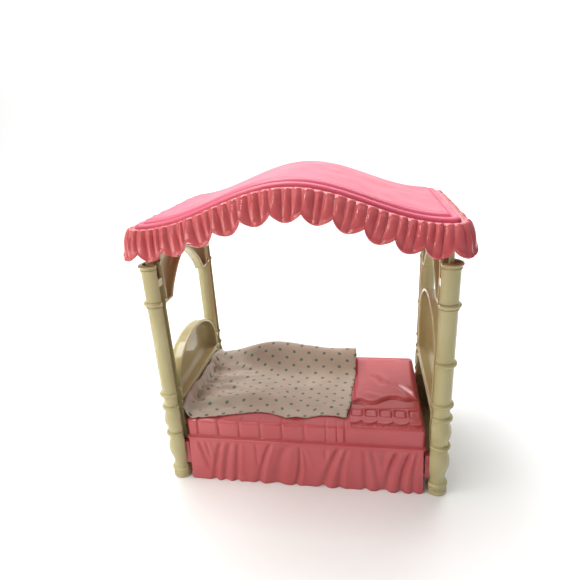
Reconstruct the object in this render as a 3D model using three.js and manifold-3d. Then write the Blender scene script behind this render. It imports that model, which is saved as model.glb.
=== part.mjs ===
// A miniature four poster bed for a dolls house: a moulded bed base, two end frames with ringed
// posts, a scalloped canopy that lifts off its pegs, and a loose blanket.
// Millimetres, +Z up. The origin is on the floor under the middle of the bed.
// +X is the head end and -Y is the front.

import * as THREE from 'three';
import { mergeVertices } from 'three/addons/utils/BufferGeometryUtils.js';
import Module from 'manifold-3d';

const manifold = await Module();
manifold.setup();

// ---------------------------------------------------------------- driving dimensions

const GAP = 0.3;                    // clearance between neighbouring pieces

// Posts
const POST_X = 75;                  // post axes, from the middle of the bed
const POST_Y = 39.4;
const POST_TOP = 134.7;             // open rim
const POST_RADIUS = 5.15;
const RING_RADIUS = 6.05;
const POST_BULGE = 6.3;             // widest part of a post, near the floor
const POST_INSET = 4.7;             // the inner side of a post is cut flat here, from its axis
const CHANNEL_WIDTH = 4.4;          // the post is open from its inner side
const CHANNEL_DEPTH = 3.2;          // past the post axis
const CHANNEL_BOTTOM = 7.5;
const CUP_RADIUS = 3.9;             // cup under the rim
const CUP_BOTTOM = 126.5;
const CUP_FLOOR = 4;
const POST_SEGMENTS = 16;
const RINGS = { foot: 5.5, lower: 30.9, sill: 48.9, waist: 57.3, head: 81.5, arch: 113.3 };

// Pegs on the posts, and their sockets in the canopy
const PEG_THICKNESS = 2.2;
const PEG_WIDTH = 4;
const PEG_TOP = 151;
const SOCKET_WALL = 1.2;
const SOCKET_BOTTOM = 142.6;

// Footboard, headboard, arch webs and end panels
const BOARD_HALF_WIDTH = POST_Y - POST_RADIUS - GAP;
const BOARD_LIP_X = 70.6;
const BOARD_DEPTH = 9;
const BOARD_ROUND = 4;
const BOARD_WALL = 1.4;
const FOOTBOARD = { bottom: 47.9, spring: 57.3, top: 81 };
const HEADBOARD = { bottom: 49.9, spring: 81.5, top: 103 };
const WEB_X = 71.2;
const WEB_DEPTH = 6;
const WEB_WALL = 1.4;
const WEB_LEDGE = 111;
const WEB_LEDGE_START = 25.6;
const WEB_CROWN = 132;
const PANEL_HALF_WIDTH = 36;
const PANEL_BOTTOM = 5;
const PANEL_DEPTH = 10.6;
const PANEL_ROUND = 3;
const PANEL_CORNER = 5;
const ARCH_STEPS = 16;              // straight steps along an arch, and round a small corner
const CORNER_STEPS = 4;

// Canopy
const ROOF_HALF_LENGTH = 77.6;
const ROOF_HALF_WIDTH = 45.65;
const ROOF_CORNER = 3.5;
const ROOF_EAVES = 157.9;           // height of the roof plate at the ends
const ROOF_RISE = 18.1;             // extra height at the middle
const ROOF_WAVE = 74;               // half-length of the arched part
const ROOF_THICKNESS = 1.5;
const ROOF_STEPS = 30;
const PIPING_WIDTH = 4;
const PIPING_DROP = 1.6;            // the piping lies this far below the roof plate
const ROOF_UNDERSIDE = ROOF_EAVES - PIPING_DROP - ROOF_THICKNESS;
const VALANCE_THICKNESS = 1.2;
const VALANCE_START = 3.2;          // top edge, below the roof plate
const VALANCE_CUSP = 14.2;          // drop at the cusps and at the bottom of the lobes
const VALANCE_LOBE = 18.5;
const VALANCE_FLARE_SIDE = 6.2;
const VALANCE_FLARE_END = 7.2;
const VALANCE_INSET = 3.7;          // first cusp, in from the roof's corner
const SIDE_LOBES = 11;
const END_LOBES = 6;
const LOBE_STEPS = 4;
const VALANCE_ROWS = 4;

// Bed base
const BED_HALF_LENGTH = 68;
const BED_HALF_WIDTH = 41;
const BED_WALL = 1.5;
const SKIRT_TOP = 27;
const MATTRESS_TOP = 39.6;
const MATTRESS_ROUND = 2;
const LEDGE_HALF_WIDTH = 43.2;
const LEDGE_THICKNESS = 1.2;
const QUILT_FIRST = -61.6;          // upright seams along the mattress sides
const QUILT_PITCH = 12.6;
const QUILT_COUNT = 7;
const QUILT_END_SEAMS = [19.9, 24.1];
const QUILT_SEAM_WIDTH = 0.9;
const QUILT_SEAM_DEPTH = 0.5;
const SKIRT_THICKNESS = 1.4;
const SKIRT_FLARE = 2;
const SKIRT_FOLD = 0.55;
const TONGUE_WIDTH = 3.8;
const TONGUE_BOTTOM = 9;
const TONGUE_TOP = 24;
const TONGUE_REACH = 76.5;

// Pillow and its lace band
const PILLOW = { left: 28.6, right: 66.8, front: -21, back: 36, height: 2 };
const PILLOW_CORNER = 3;
const LACE = { left: 27, right: 67, back: -21.6, cusp: -34.2, lobe: -37.2, height: 1 };
const LACE_PITCH = 8.7;
const EYELET_PITCH = 8.2;
const EYELET_FIRST = 30.9;
const EYELET_COUNT = 5;
const EYELET_HALF = 2.7;
const EYELET_MIDDLE = -27.3;

// Blanket
const BLANKET = { left: -67.5, right: 26, front: -38, back: 40, edge: 1.5 };
const BLANKET_FOLD = 17; // height of the large fold, where it is highest
const BLANKET_FOLD_Y = 26; // line of the fold, behind the middle of the bed
const BLANKET_FOLD_SPREAD = 9;
const BLANKET_FOLD_PEAK_X = -24;
const BLANKET_FOLD_FOOT = 0.45; // height at the foot end, as a share of the highest
const BLANKET_FOLD_HEAD = 0.82; // height at the pillow end, as a share of the highest

// ---------------------------------------------------------------- materials

const pinkPlastic = { color: 0xf2879f, roughness: 0.25, metalness: 0 };
const creamPlastic = { color: 0xe9e2bc, roughness: 0.3, metalness: 0 };
const printedCotton = { color: 0xf3ece2, roughness: 0.95, metalness: 0 };

// ---------------------------------------------------------------- helpers

const bed = new THREE.Group();

// Adds one named piece to the bed.
function addPiece(name, geometry, finish) {
  const piece = new THREE.Mesh(geometry, new THREE.MeshStandardMaterial(finish));
  piece.name = name;
  bed.add(piece);
  return piece;
}

// Turns a closed geometry into a solid that can be cut and joined.
function toSolid(geometry) {
  const bare = geometry.index ? geometry.toNonIndexed() : geometry.clone();
  bare.deleteAttribute('normal');
  bare.deleteAttribute('uv');
  const merged = mergeVertices(bare, 1e-4);
  const vertProperties = new Float32Array(merged.attributes.position.array);
  const triVerts = new Uint32Array(merged.index.array);
  return new manifold.Manifold(new manifold.Mesh({ numProp: 3, vertProperties, triVerts }));
}

function toGeometry(solid) {
  const mesh = solid.getMesh();
  const geometry = new THREE.BufferGeometry();
  geometry.setAttribute('position', new THREE.BufferAttribute(new Float32Array(mesh.vertProperties), 3));
  geometry.setIndex(new THREE.BufferAttribute(new Uint32Array(mesh.triVerts), 1));
  geometry.computeVertexNormals();
  return geometry;
}

// A box from its lowest corner to its highest.
function box(low, high) {
  const size = high.map((value, axis) => value - low[axis]);
  const middle = high.map((value, axis) => (value + low[axis]) / 2);
  return new THREE.BoxGeometry(...size).translate(...middle);
}

// A solid of revolution about +Z from [radius, height] points.
function turned(profile, segments) {
  const points = profile.map(([radius, height]) => new THREE.Vector2(radius, height));
  return new THREE.LatheGeometry(points, segments).rotateX(Math.PI / 2);
}

// Stands an extrusion up so that its outline lies in Y and Z and its depth runs along +X.
function alongX(geometry) {
  const turn = new THREE.Matrix4().makeBasis(
    new THREE.Vector3(0, 1, 0), new THREE.Vector3(0, 0, 1), new THREE.Vector3(1, 0, 0));
  return geometry.applyMatrix4(turn);
}

// Stands an extrusion up so that its outline lies in X and Z, centred on Y = 0.
function acrossY(geometry, depth) {
  const turn = new THREE.Matrix4().makeBasis(
    new THREE.Vector3(1, 0, 0), new THREE.Vector3(0, 0, 1), new THREE.Vector3(0, -1, 0));
  return geometry.applyMatrix4(turn).translate(0, depth / 2, 0);
}

// A rounded rectangle outline.
function roundedRectangle(left, right, front, back, corner) {
  const shape = new THREE.Shape();
  shape.moveTo(left + corner, front);
  shape.lineTo(right - corner, front);
  shape.absarc(right - corner, front + corner, corner, -Math.PI / 2, 0, false);
  shape.lineTo(right, back - corner);
  shape.absarc(right - corner, back - corner, corner, 0, Math.PI / 2, false);
  shape.lineTo(left + corner, back);
  shape.absarc(left + corner, back - corner, corner, Math.PI / 2, Math.PI, false);
  shape.lineTo(left, front + corner);
  shape.absarc(left + corner, front + corner, corner, Math.PI, 1.5 * Math.PI, false);
  return shape;
}

// A thin bent sheet. place(across, through, down) gives a point for values from 0 to 1.
function bentSheet(place, across, down) {
  const geometry = new THREE.BoxGeometry(1, 1, 1, across, 1, down);
  const position = geometry.attributes.position;
  for (let i = 0; i < position.count; i += 1) {
    const point = place(position.getX(i) + 0.5, 0.5 - position.getY(i), 0.5 - position.getZ(i));
    position.setXYZ(i, point.x, point.y, point.z);
  }
  geometry.computeVertexNormals();
  return geometry;
}

// Copies a piece made for the head end, front side, to one of the four corners.
function mirrored(geometry, endSign, sideSign) {
  const copy = geometry.index ? geometry.toNonIndexed() : geometry.clone();
  copy.scale(endSign, sideSign, 1);
  if (endSign * sideSign < 0) {
    flipFaces(copy);
  }
  return copy;
}

function flipFaces(geometry) {
  const position = geometry.attributes.position;
  for (let i = 0; i < position.count; i += 3) {
    const first = new THREE.Vector3().fromBufferAttribute(position, i);
    const last = new THREE.Vector3().fromBufferAttribute(position, i + 2);
    position.setXYZ(i, last.x, last.y, last.z);
    position.setXYZ(i + 2, first.x, first.y, first.z);
  }
  geometry.computeVertexNormals();
}

const CORNERS = [
  { name: 'head_front', end: 1, side: 1 },
  { name: 'head_rear', end: 1, side: -1 },
  { name: 'foot_front', end: -1, side: 1 },
  { name: 'foot_rear', end: -1, side: -1 },
];
const ENDS = [{ name: 'head', sign: 1 }, { name: 'foot', sign: -1 }];
const SIDES = [{ name: 'front', sign: 1 }, { name: 'rear', sign: -1 }];

// ---------------------------------------------------------------- posts and pegs

// A raised ring on a post: four profile points about one height.
function ring(height, below, above) {
  return [[below, height - 1.3], [RING_RADIUS, height - 0.6], [RING_RADIUS, height + 0.6],
    [above, height + 1.3]];
}

function postProfile(isHead) {
  const shaft = POST_RADIUS;
  return [
    [0, 0], [6, 0], [6, 1.9], [5.3, 2.5], [5.3, 3.6],
    ...ring(RINGS.foot, 5.5, 5),
    [4.7, 9.5], [5.7, 14], [POST_BULGE, 20.5], [5.7, 27],
    ...ring(RINGS.lower, 5.4, 5.6),
    [6.2, 39], [5.7, 45],
    ...ring(RINGS.sill, 5.3, 4.9),
    [4.8, 53],
    ...ring(RINGS.waist, 4.9, shaft),
    ...(isHead ? ring(RINGS.head, shaft, shaft) : []),
    ...ring(RINGS.arch, shaft, shaft),
    [shaft, POST_TOP - 1.7], [RING_RADIUS, POST_TOP - 1.1], [RING_RADIUS, POST_TOP], [0, POST_TOP],
  ];
}

// A post at the head end, front side. It is cut flat and open on the side that faces the bed.
function makePost(isHead) {
  const half = CHANNEL_WIDTH / 2;
  const far = 2 * RING_RADIUS;
  const innerCut = toSolid(box([-far, -far, -1], [-POST_INSET, far, POST_TOP + 1]));
  const channel = toSolid(box([-far, -half, CHANNEL_BOTTOM],
    [CHANNEL_DEPTH, half, CUP_BOTTOM - CUP_FLOOR]));
  const mouth = toSolid(box([-far, -half, CUP_BOTTOM], [0, half, POST_TOP + 1]));
  const cup = toSolid(turned([[0, CUP_BOTTOM], [CUP_RADIUS, CUP_BOTTOM],
    [CUP_RADIUS, POST_TOP + 1], [0, POST_TOP + 1]], POST_SEGMENTS));
  const body = toSolid(turned(postProfile(isHead), POST_SEGMENTS));
  const cut = body.subtract(innerCut).subtract(channel).subtract(cup.add(mouth));
  return toGeometry(cut.translate([POST_X, -POST_Y, 0]));
}

// The room that a post needs: its own shape, larger by the gap all round.
function makePostRoom(isHead) {
  const profile = postProfile(isHead).map(([radius, height]) => [radius > 0 ? radius + GAP : 0, height]);
  const room = toSolid(turned(profile, POST_SEGMENTS).translate(POST_X, -POST_Y, 0));
  const otherSide = toSolid(turned(profile, POST_SEGMENTS).translate(POST_X, POST_Y, 0));
  return room.add(otherSide);
}

function makePeg() {
  return box([POST_X - PEG_THICKNESS / 2, -POST_Y - PEG_WIDTH / 2, CUP_BOTTOM + GAP],
    [POST_X + PEG_THICKNESS / 2, -POST_Y + PEG_WIDTH / 2, PEG_TOP]);
}

function makeSocket() {
  const inner = [PEG_THICKNESS / 2 + GAP, PEG_WIDTH / 2 + GAP];
  const outer = inner.map((value) => value + SOCKET_WALL);
  const ceiling = ROOF_UNDERSIDE - GAP;
  const block = toSolid(box([POST_X - outer[0], -POST_Y - outer[1], SOCKET_BOTTOM],
    [POST_X + outer[0], -POST_Y + outer[1], ceiling]));
  const hole = toSolid(box([POST_X - inner[0], -POST_Y - inner[1], SOCKET_BOTTOM - 1],
    [POST_X + inner[0], -POST_Y + inner[1], PEG_TOP + GAP]));
  return toGeometry(block.subtract(hole));
}

for (const corner of CORNERS) {
  const post = makePost(corner.end > 0);
  addPiece(`post_${corner.name}`, mirrored(post, corner.end, corner.side), creamPlastic);
  addPiece(`roof_peg_${corner.name}`, mirrored(makePeg(), corner.end, corner.side), creamPlastic);
  addPiece(`peg_socket_${corner.name}`, mirrored(makeSocket(), corner.end, corner.side), pinkPlastic);
}

// ---------------------------------------------------------------- boards, panels and arch webs

// The outline of a board: straight sides up to the spring, then half an ellipse.
function boardOutline({ bottom, spring, top }) {
  const shape = new THREE.Shape();
  shape.moveTo(-BOARD_HALF_WIDTH, bottom);
  shape.lineTo(BOARD_HALF_WIDTH, bottom);
  shape.lineTo(BOARD_HALF_WIDTH, spring);
  shape.absellipse(0, spring, BOARD_HALF_WIDTH, top - spring, 0, Math.PI, false, 0);
  return shape;
}

// A block with rounded edges whose outline is the shape inset by a margin. It ends at farX.
function roundedBlock(shape, depth, farX, round, margin, steps) {
  const options = {
    depth,
    bevelEnabled: true,
    bevelThickness: round,
    bevelSize: round,
    bevelOffset: -round - margin,
    bevelSegments: 3,
    curveSegments: steps,
  };
  const block = new THREE.ExtrudeGeometry(shape, options);
  return toSolid(alongX(block).translate(farX - depth - round, 0, 0));
}

// A shallow dish at the head end, open towards the bed.
function makeDish(shape, depth, round, steps) {
  const far = 200;
  const outerX = BOARD_LIP_X + depth;
  const outer = roundedBlock(shape, depth, outerX, round, 0, steps);
  const inner = roundedBlock(shape, depth, outerX - BOARD_WALL, round, BOARD_WALL, steps);
  const bedSide = toSolid(box([-far, -far, -far], [BOARD_LIP_X, far, far]));
  return outer.subtract(inner).subtract(bedSide);
}

// The end panel passes behind the posts, so it is cut round them.
function makeEndPanel() {
  const top = FOOTBOARD.bottom - GAP;
  const shape = roundedRectangle(-PANEL_HALF_WIDTH, PANEL_HALF_WIDTH, PANEL_BOTTOM, top, PANEL_CORNER);
  let panel = makeDish(shape, PANEL_DEPTH, PANEL_ROUND, CORNER_STEPS);
  const reach = POST_BULGE + GAP;
  for (const side of [-1, 1]) {
    const clearance = turned([[0, -1], [reach, -1], [reach, top + 1], [0, top + 1]], POST_SEGMENTS);
    panel = panel.subtract(toSolid(clearance.translate(POST_X, side * POST_Y, 0)));
  }
  return toGeometry(panel);
}

// The outline of an arch web, inset by a margin: a level top with a round arch below it.
function webOutline(inset) {
  const shape = new THREE.Shape();
  const half = BOARD_HALF_WIDTH - inset;
  const top = ROOF_UNDERSIDE - GAP - inset;
  const ledge = WEB_LEDGE + inset;
  const start = WEB_LEDGE_START + inset;
  const crown = WEB_CROWN + inset;
  const haunch = [0.88 * start, ledge + 0.36 * (crown - ledge)];
  const shoulder = [0.31 * start, ledge + 0.95 * (crown - ledge)];
  shape.moveTo(-half, top);
  shape.lineTo(-half, ledge);
  shape.lineTo(-start, ledge);
  shape.bezierCurveTo(-haunch[0], haunch[1], -shoulder[0], shoulder[1], 0, crown);
  shape.bezierCurveTo(shoulder[0], shoulder[1], haunch[0], haunch[1], start, ledge);
  shape.lineTo(half, ledge);
  shape.lineTo(half, top);
  return shape;
}

// The web that ties two posts under the canopy. It is a shallow dish, open towards the bed.
function makeArchWeb() {
  const options = { depth: WEB_DEPTH, bevelEnabled: false, curveSegments: ARCH_STEPS / 2 };
  const block = alongX(new THREE.ExtrudeGeometry(webOutline(0), options)).translate(WEB_X, 0, 0);
  const hollow = alongX(new THREE.ExtrudeGeometry(webOutline(WEB_WALL), options))
    .translate(WEB_X - WEB_WALL, 0, 0);
  return toGeometry(toSolid(block).subtract(toSolid(hollow)).subtract(makePostRoom(true)));
}

function makeBoard(board, isHead) {
  const dish = makeDish(boardOutline(board), BOARD_DEPTH, BOARD_ROUND, ARCH_STEPS);
  return toGeometry(dish.subtract(makePostRoom(isHead)));
}

const headboard = makeBoard(HEADBOARD, true);
const footboard = makeBoard(FOOTBOARD, false);
addPiece('headboard', mirrored(headboard, 1, 1), creamPlastic);
addPiece('footboard', mirrored(footboard, -1, 1), creamPlastic);
for (const end of ENDS) {
  addPiece(`arch_web_${end.name}`, mirrored(makeArchWeb(), end.sign, 1), creamPlastic);
  addPiece(`end_panel_${end.name}`, mirrored(makeEndPanel(), end.sign, 1), creamPlastic);
}

// ---------------------------------------------------------------- canopy

// Height of the roof plate: one cosine wave from end to end.
function roofHeight(x) {
  if (Math.abs(x) >= ROOF_WAVE) {
    return ROOF_EAVES;
  }
  return ROOF_EAVES + ROOF_RISE * (1 + Math.cos(Math.PI * x / ROOF_WAVE)) / 2;
}

// A slab that follows the roof between two heights, measured from the top of the roof plate.
function roofSlab(low, high, halfLength, halfWidth) {
  const stations = [];
  for (let i = 0; i <= ROOF_STEPS; i += 1) {
    stations.push(ROOF_WAVE * (2 * i / ROOF_STEPS - 1));
  }
  const heights = [-halfLength, ...stations, halfLength];
  const upper = heights.map((x) => new THREE.Vector2(x, roofHeight(x) + high));
  const lower = heights.map((x) => new THREE.Vector2(x, roofHeight(x) + low)).reverse();
  const shape = new THREE.Shape([...lower, ...upper]);
  const depth = 2 * halfWidth;
  const geometry = new THREE.ExtrudeGeometry(shape, { depth, bevelEnabled: false });
  return toSolid(acrossY(geometry, depth));
}

// An upright block with the roof's plan, inset by a margin.
function roofPlan(inset) {
  const shape = roundedRectangle(-ROOF_HALF_LENGTH + inset, ROOF_HALF_LENGTH - inset,
    -ROOF_HALF_WIDTH + inset, ROOF_HALF_WIDTH - inset, ROOF_CORNER);
  const depth = 2 * ROOF_EAVES;
  const options = { depth, bevelEnabled: false, curveSegments: 4 };
  return toSolid(new THREE.ExtrudeGeometry(shape, options));
}

// The raised roof plate with the lower piping round it, hollow underneath.
function makeCanopyTop() {
  const reach = ROOF_HALF_LENGTH + 1;
  const width = ROOF_HALF_WIDTH + 1;
  const bottom = -PIPING_DROP - ROOF_THICKNESS;
  const plate = roofSlab(bottom, 0, reach, width).intersect(roofPlan(PIPING_WIDTH));
  const piping = roofSlab(bottom, -PIPING_DROP, reach, width).intersect(roofPlan(0));
  const hollow = roofSlab(bottom - 1, -ROOF_THICKNESS, reach, width);
  return toGeometry(plate.add(piping).subtract(hollow.intersect(roofPlan(PIPING_WIDTH + ROOF_THICKNESS))));
}

// How far the valance hangs below the roof: cusps with round lobes between them.
function valanceDrop(lobePosition) {
  const within = lobePosition - Math.floor(lobePosition);
  return VALANCE_CUSP + (VALANCE_LOBE - VALANCE_CUSP) * Math.sin(Math.PI * within) ** 0.7;
}

// One point of the valance's curved section: how far out and how far down.
function valanceSection(drop, flare, through, down) {
  const angle = down * Math.PI / 2;
  const inward = VALANCE_THICKNESS * (1 - through);
  const out = (flare - inward) * Math.sin(angle);
  const curve = (drop - VALANCE_START) * (1 - Math.cos(angle));
  return { out, fall: VALANCE_START + curve + inward * Math.cos(angle) };
}

function valanceSide(across, through, down) {
  const halfLength = ROOF_HALF_LENGTH - VALANCE_INSET - GAP / 2;
  const x = halfLength * (2 * across - 1);
  const drop = valanceDrop(Math.min(across * SIDE_LOBES, SIDE_LOBES - 1e-6));
  const { out, fall } = valanceSection(drop, VALANCE_FLARE_SIDE, through, down);
  return new THREE.Vector3(x, -ROOF_HALF_WIDTH - GAP - out, roofHeight(x) - fall);
}

function valanceEnd(across, through, down) {
  const halfWidth = ROOF_HALF_WIDTH - VALANCE_INSET - GAP / 2;
  const y = halfWidth * (2 * across - 1);
  const drop = valanceDrop(Math.min(across * END_LOBES, END_LOBES - 1e-6));
  const { out, fall } = valanceSection(drop, VALANCE_FLARE_END, through, down);
  return new THREE.Vector3(ROOF_HALF_LENGTH + GAP + out, y, ROOF_EAVES - fall);
}

// One lobe that turns the corner at the head end, front side.
function valanceCorner(across, through, down) {
  const turn = across * Math.PI / 2;
  const flare = VALANCE_FLARE_SIDE + (VALANCE_FLARE_END - VALANCE_FLARE_SIDE) * across;
  const { out, fall } = valanceSection(valanceDrop(Math.min(across, 1 - 1e-6)), flare, through, down);
  const radius = VALANCE_INSET + GAP + out;
  const seam = GAP / 2;
  return new THREE.Vector3(ROOF_HALF_LENGTH - VALANCE_INSET + seam + radius * Math.sin(turn),
    -ROOF_HALF_WIDTH + VALANCE_INSET - seam - radius * Math.cos(turn), ROOF_EAVES - fall);
}

addPiece('canopy_top', makeCanopyTop(), pinkPlastic);
const sideValance = bentSheet(valanceSide, SIDE_LOBES * LOBE_STEPS, VALANCE_ROWS);
const endValance = bentSheet(valanceEnd, END_LOBES * LOBE_STEPS, VALANCE_ROWS);
const cornerValance = bentSheet(valanceCorner, LOBE_STEPS, VALANCE_ROWS);
for (const side of SIDES) {
  addPiece(`valance_${side.name}`, mirrored(sideValance, 1, side.sign), pinkPlastic);
}
for (const end of ENDS) {
  addPiece(`valance_${end.name}`, mirrored(endValance, end.sign, 1), pinkPlastic);
}
for (const corner of CORNERS) {
  const lobe = mirrored(cornerValance, corner.end, corner.side);
  addPiece(`valance_corner_${corner.name}`, lobe, pinkPlastic);
}

// ---------------------------------------------------------------- bed base

function makeMattress() {
  const bottom = SKIRT_TOP + GAP;
  const corner = 3;
  const round = MATTRESS_ROUND;
  const plan = roundedRectangle(-BED_HALF_LENGTH, BED_HALF_LENGTH, -BED_HALF_WIDTH,
    BED_HALF_WIDTH, corner);
  const options = {
    depth: MATTRESS_TOP - bottom,
    bevelEnabled: true,
    bevelThickness: round,
    bevelSize: round,
    bevelOffset: -round,
    bevelSegments: 2,
    curveSegments: 4,
  };
  const padded = new THREE.ExtrudeGeometry(plan, options).translate(0, 0, bottom - round);
  const far = 200;
  let solid = toSolid(padded);
  solid = solid.subtract(toSolid(box([-far, -far, -far], [far, far, bottom])));
  const ledge = box([-BED_HALF_LENGTH, -LEDGE_HALF_WIDTH, bottom],
    [BED_HALF_LENGTH, LEDGE_HALF_WIDTH, bottom + LEDGE_THICKNESS]);
  solid = solid.add(toSolid(ledge));
  const inside = [BED_HALF_LENGTH - BED_WALL, BED_HALF_WIDTH - BED_WALL];
  solid = solid.subtract(toSolid(box([-inside[0], -inside[1], bottom - 1],
    [inside[0], inside[1], MATTRESS_TOP - BED_WALL])));
  const seams = Array.from({ length: QUILT_COUNT }, (_, i) => QUILT_FIRST + i * QUILT_PITCH);
  for (const x of [...seams, ...QUILT_END_SEAMS]) {
    for (const side of [-1, 1]) {
      const face = side * BED_HALF_WIDTH;
      const groove = box([x - QUILT_SEAM_WIDTH / 2, face - QUILT_SEAM_DEPTH, bottom + 2],
        [x + QUILT_SEAM_WIDTH / 2, face + QUILT_SEAM_DEPTH, MATTRESS_TOP + 1]);
      solid = solid.subtract(toSolid(groove));
    }
  }
  return toGeometry(solid);
}

// Gathers in the skirt: they are deeper near the floor.
function gather(distance, down) {
  const wave = Math.sin(distance * 0.52) + 0.6 * Math.sin(distance * 0.83 + 1.3);
  return SKIRT_FOLD * wave * Math.sqrt(down);
}

function skirtSide(across, through, down) {
  const halfLength = BED_HALF_LENGTH - GAP;
  const x = halfLength * (2 * across - 1);
  const out = SKIRT_FLARE * down + gather(x, down) + SKIRT_THICKNESS * (through - 1);
  return new THREE.Vector3(x, -LEDGE_HALF_WIDTH + SKIRT_FOLD - out, SKIRT_TOP * (1 - down));
}

function skirtEnd(across, through, down) {
  const halfWidth = LEDGE_HALF_WIDTH - SKIRT_THICKNESS - 3 * GAP;
  const y = halfWidth * (2 * across - 1);
  const out = SKIRT_THICKNESS * (through - 1);
  return new THREE.Vector3(BED_HALF_LENGTH + out, y, SKIRT_TOP * (1 - down));
}

// A tongue at the head end, front side. It slides into the channel of the post beside it.
function makeTongue() {
  return box([BED_HALF_LENGTH + GAP, -POST_Y - TONGUE_WIDTH / 2, TONGUE_BOTTOM],
    [TONGUE_REACH, -POST_Y + TONGUE_WIDTH / 2, TONGUE_TOP]);
}

function makePillow() {
  const bottom = MATTRESS_TOP + GAP;
  const round = PILLOW.height;
  const plan = roundedRectangle(PILLOW.left, PILLOW.right, PILLOW.front, PILLOW.back, PILLOW_CORNER);
  const options = {
    depth: round,
    bevelEnabled: true,
    bevelThickness: round,
    bevelSize: round,
    bevelOffset: -round,
    bevelSegments: 2,
    curveSegments: 4,
  };
  const cushion = toSolid(new THREE.ExtrudeGeometry(plan, options).translate(0, 0, bottom - round));
  const far = 200;
  const below = toSolid(box([-far, -far, -far], [far, far, bottom]));
  return toGeometry(cushion.subtract(below));
}

// The flat lace band along the front of the pillow, with a scalloped edge and square eyelets.
function makeLaceBand() {
  const bottom = MATTRESS_TOP + GAP;
  const shape = new THREE.Shape();
  shape.moveTo(LACE.right, LACE.back);
  shape.lineTo(LACE.left, LACE.back);
  shape.lineTo(LACE.left, LACE.cusp);
  const lobes = 4;
  const start = LACE.left + (LACE.right - LACE.left - lobes * LACE_PITCH) / 2;
  shape.lineTo(start, LACE.cusp);
  for (let i = 1; i <= lobes; i += 1) {
    const cusp = start + i * LACE_PITCH;
    const lobe = LACE.lobe - (LACE.cusp - LACE.lobe);
    shape.quadraticCurveTo(cusp - LACE_PITCH / 2, lobe, cusp, LACE.cusp);
  }
  shape.lineTo(LACE.right, LACE.cusp);
  for (let i = 0; i < EYELET_COUNT; i += 1) {
    const x = EYELET_FIRST + i * EYELET_PITCH;
    shape.holes.push(roundedRectangle(x - EYELET_HALF, x + EYELET_HALF,
      EYELET_MIDDLE - EYELET_HALF, EYELET_MIDDLE + EYELET_HALF, 0.8));
  }
  const options = { depth: LACE.height, bevelEnabled: false, curveSegments: 3 };
  return new THREE.ExtrudeGeometry(shape, options).translate(0, 0, bottom);
}

addPiece('mattress', makeMattress(), pinkPlastic);
addPiece('pillow', makePillow(), pinkPlastic);
addPiece('lace_band', makeLaceBand(), pinkPlastic);
const sideSkirt = bentSheet(skirtSide, 40, 3);
const endSkirt = bentSheet(skirtEnd, 4, 1);
for (const side of SIDES) {
  addPiece(`skirt_${side.name}`, mirrored(sideSkirt, 1, side.sign), pinkPlastic);
}
for (const end of ENDS) {
  addPiece(`skirt_${end.name}`, mirrored(endSkirt, end.sign, 1), pinkPlastic);
}
for (const corner of CORNERS) {
  addPiece(`base_tongue_${corner.name}`, mirrored(makeTongue(), corner.end, corner.side), pinkPlastic);
}

// ---------------------------------------------------------------- blanket

// Height of the blanket's large fold over the point (x, y).
function blanketFold(x, y) {
  const across = Math.exp(-(((y - BLANKET_FOLD_Y) / BLANKET_FOLD_SPREAD) ** 2));
  const foot = THREE.MathUtils.smoothstep(x, BLANKET.left, BLANKET_FOLD_PEAK_X);
  const head = THREE.MathUtils.smoothstep(x, BLANKET_FOLD_PEAK_X, BLANKET.right);
  const along = BLANKET_FOLD_FOOT + (1 - BLANKET_FOLD_FOOT) * foot - (1 - BLANKET_FOLD_HEAD) * head;
  return BLANKET_FOLD * across * along;
}

// The blanket lies crumpled on the mattress: its solid is the room that the sheet takes up,
// low along the front, with one large fold along the back.
function makeBlanket() {
  const bottom = MATTRESS_TOP + 2 * GAP;
  const stepsAlong = 10;
  const stepsAcross = 18;
  const geometry = new THREE.BoxGeometry(1, 1, 1, stepsAlong, stepsAcross, 1);
  const position = geometry.attributes.position;
  for (let i = 0; i < position.count; i += 1) {
    const x = BLANKET.left + (BLANKET.right - BLANKET.left) * (position.getX(i) + 0.5);
    const y = BLANKET.front + (BLANKET.back - BLANKET.front) * (position.getY(i) + 0.5);
    const height = position.getZ(i) > 0 ? BLANKET.edge + blanketFold(x, y) : 0;
    position.setXYZ(i, x, y, bottom + height);
  }
  geometry.computeVertexNormals();
  return geometry;
}

addPiece('blanket', makeBlanket(), printedCotton);

export default bed;
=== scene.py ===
# Looks for the miniature four poster bed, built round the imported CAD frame.
# Lengths inside this script are in millimetres until a mesh is made, which is in metres.
import math

import bmesh
import bpy
import numpy as np
from mathutils import Matrix, Vector


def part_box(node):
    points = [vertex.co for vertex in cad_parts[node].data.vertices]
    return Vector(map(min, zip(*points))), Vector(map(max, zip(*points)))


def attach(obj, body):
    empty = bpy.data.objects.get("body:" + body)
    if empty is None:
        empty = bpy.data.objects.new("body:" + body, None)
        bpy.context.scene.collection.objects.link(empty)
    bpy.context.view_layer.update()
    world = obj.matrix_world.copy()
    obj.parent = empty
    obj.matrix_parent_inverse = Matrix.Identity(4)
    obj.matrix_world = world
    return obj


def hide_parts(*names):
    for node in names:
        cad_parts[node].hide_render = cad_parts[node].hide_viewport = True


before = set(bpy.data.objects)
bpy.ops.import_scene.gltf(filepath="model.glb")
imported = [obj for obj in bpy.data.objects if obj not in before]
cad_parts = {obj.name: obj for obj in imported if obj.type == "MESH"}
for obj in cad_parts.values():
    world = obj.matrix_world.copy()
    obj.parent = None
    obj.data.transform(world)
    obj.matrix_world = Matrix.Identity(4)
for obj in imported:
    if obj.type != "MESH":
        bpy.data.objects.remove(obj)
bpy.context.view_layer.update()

MM = 0.001
SCENE = bpy.context.scene
# Each corner and end with the signs that mirror a piece made at the head end, front side
CORNERS = [("head_front", 1, 1), ("head_rear", 1, -1), ("foot_front", -1, 1), ("foot_rear", -1, -1)]
ENDS = [("head", 1), ("foot", -1)]
SIDES = ("front", "rear")


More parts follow.
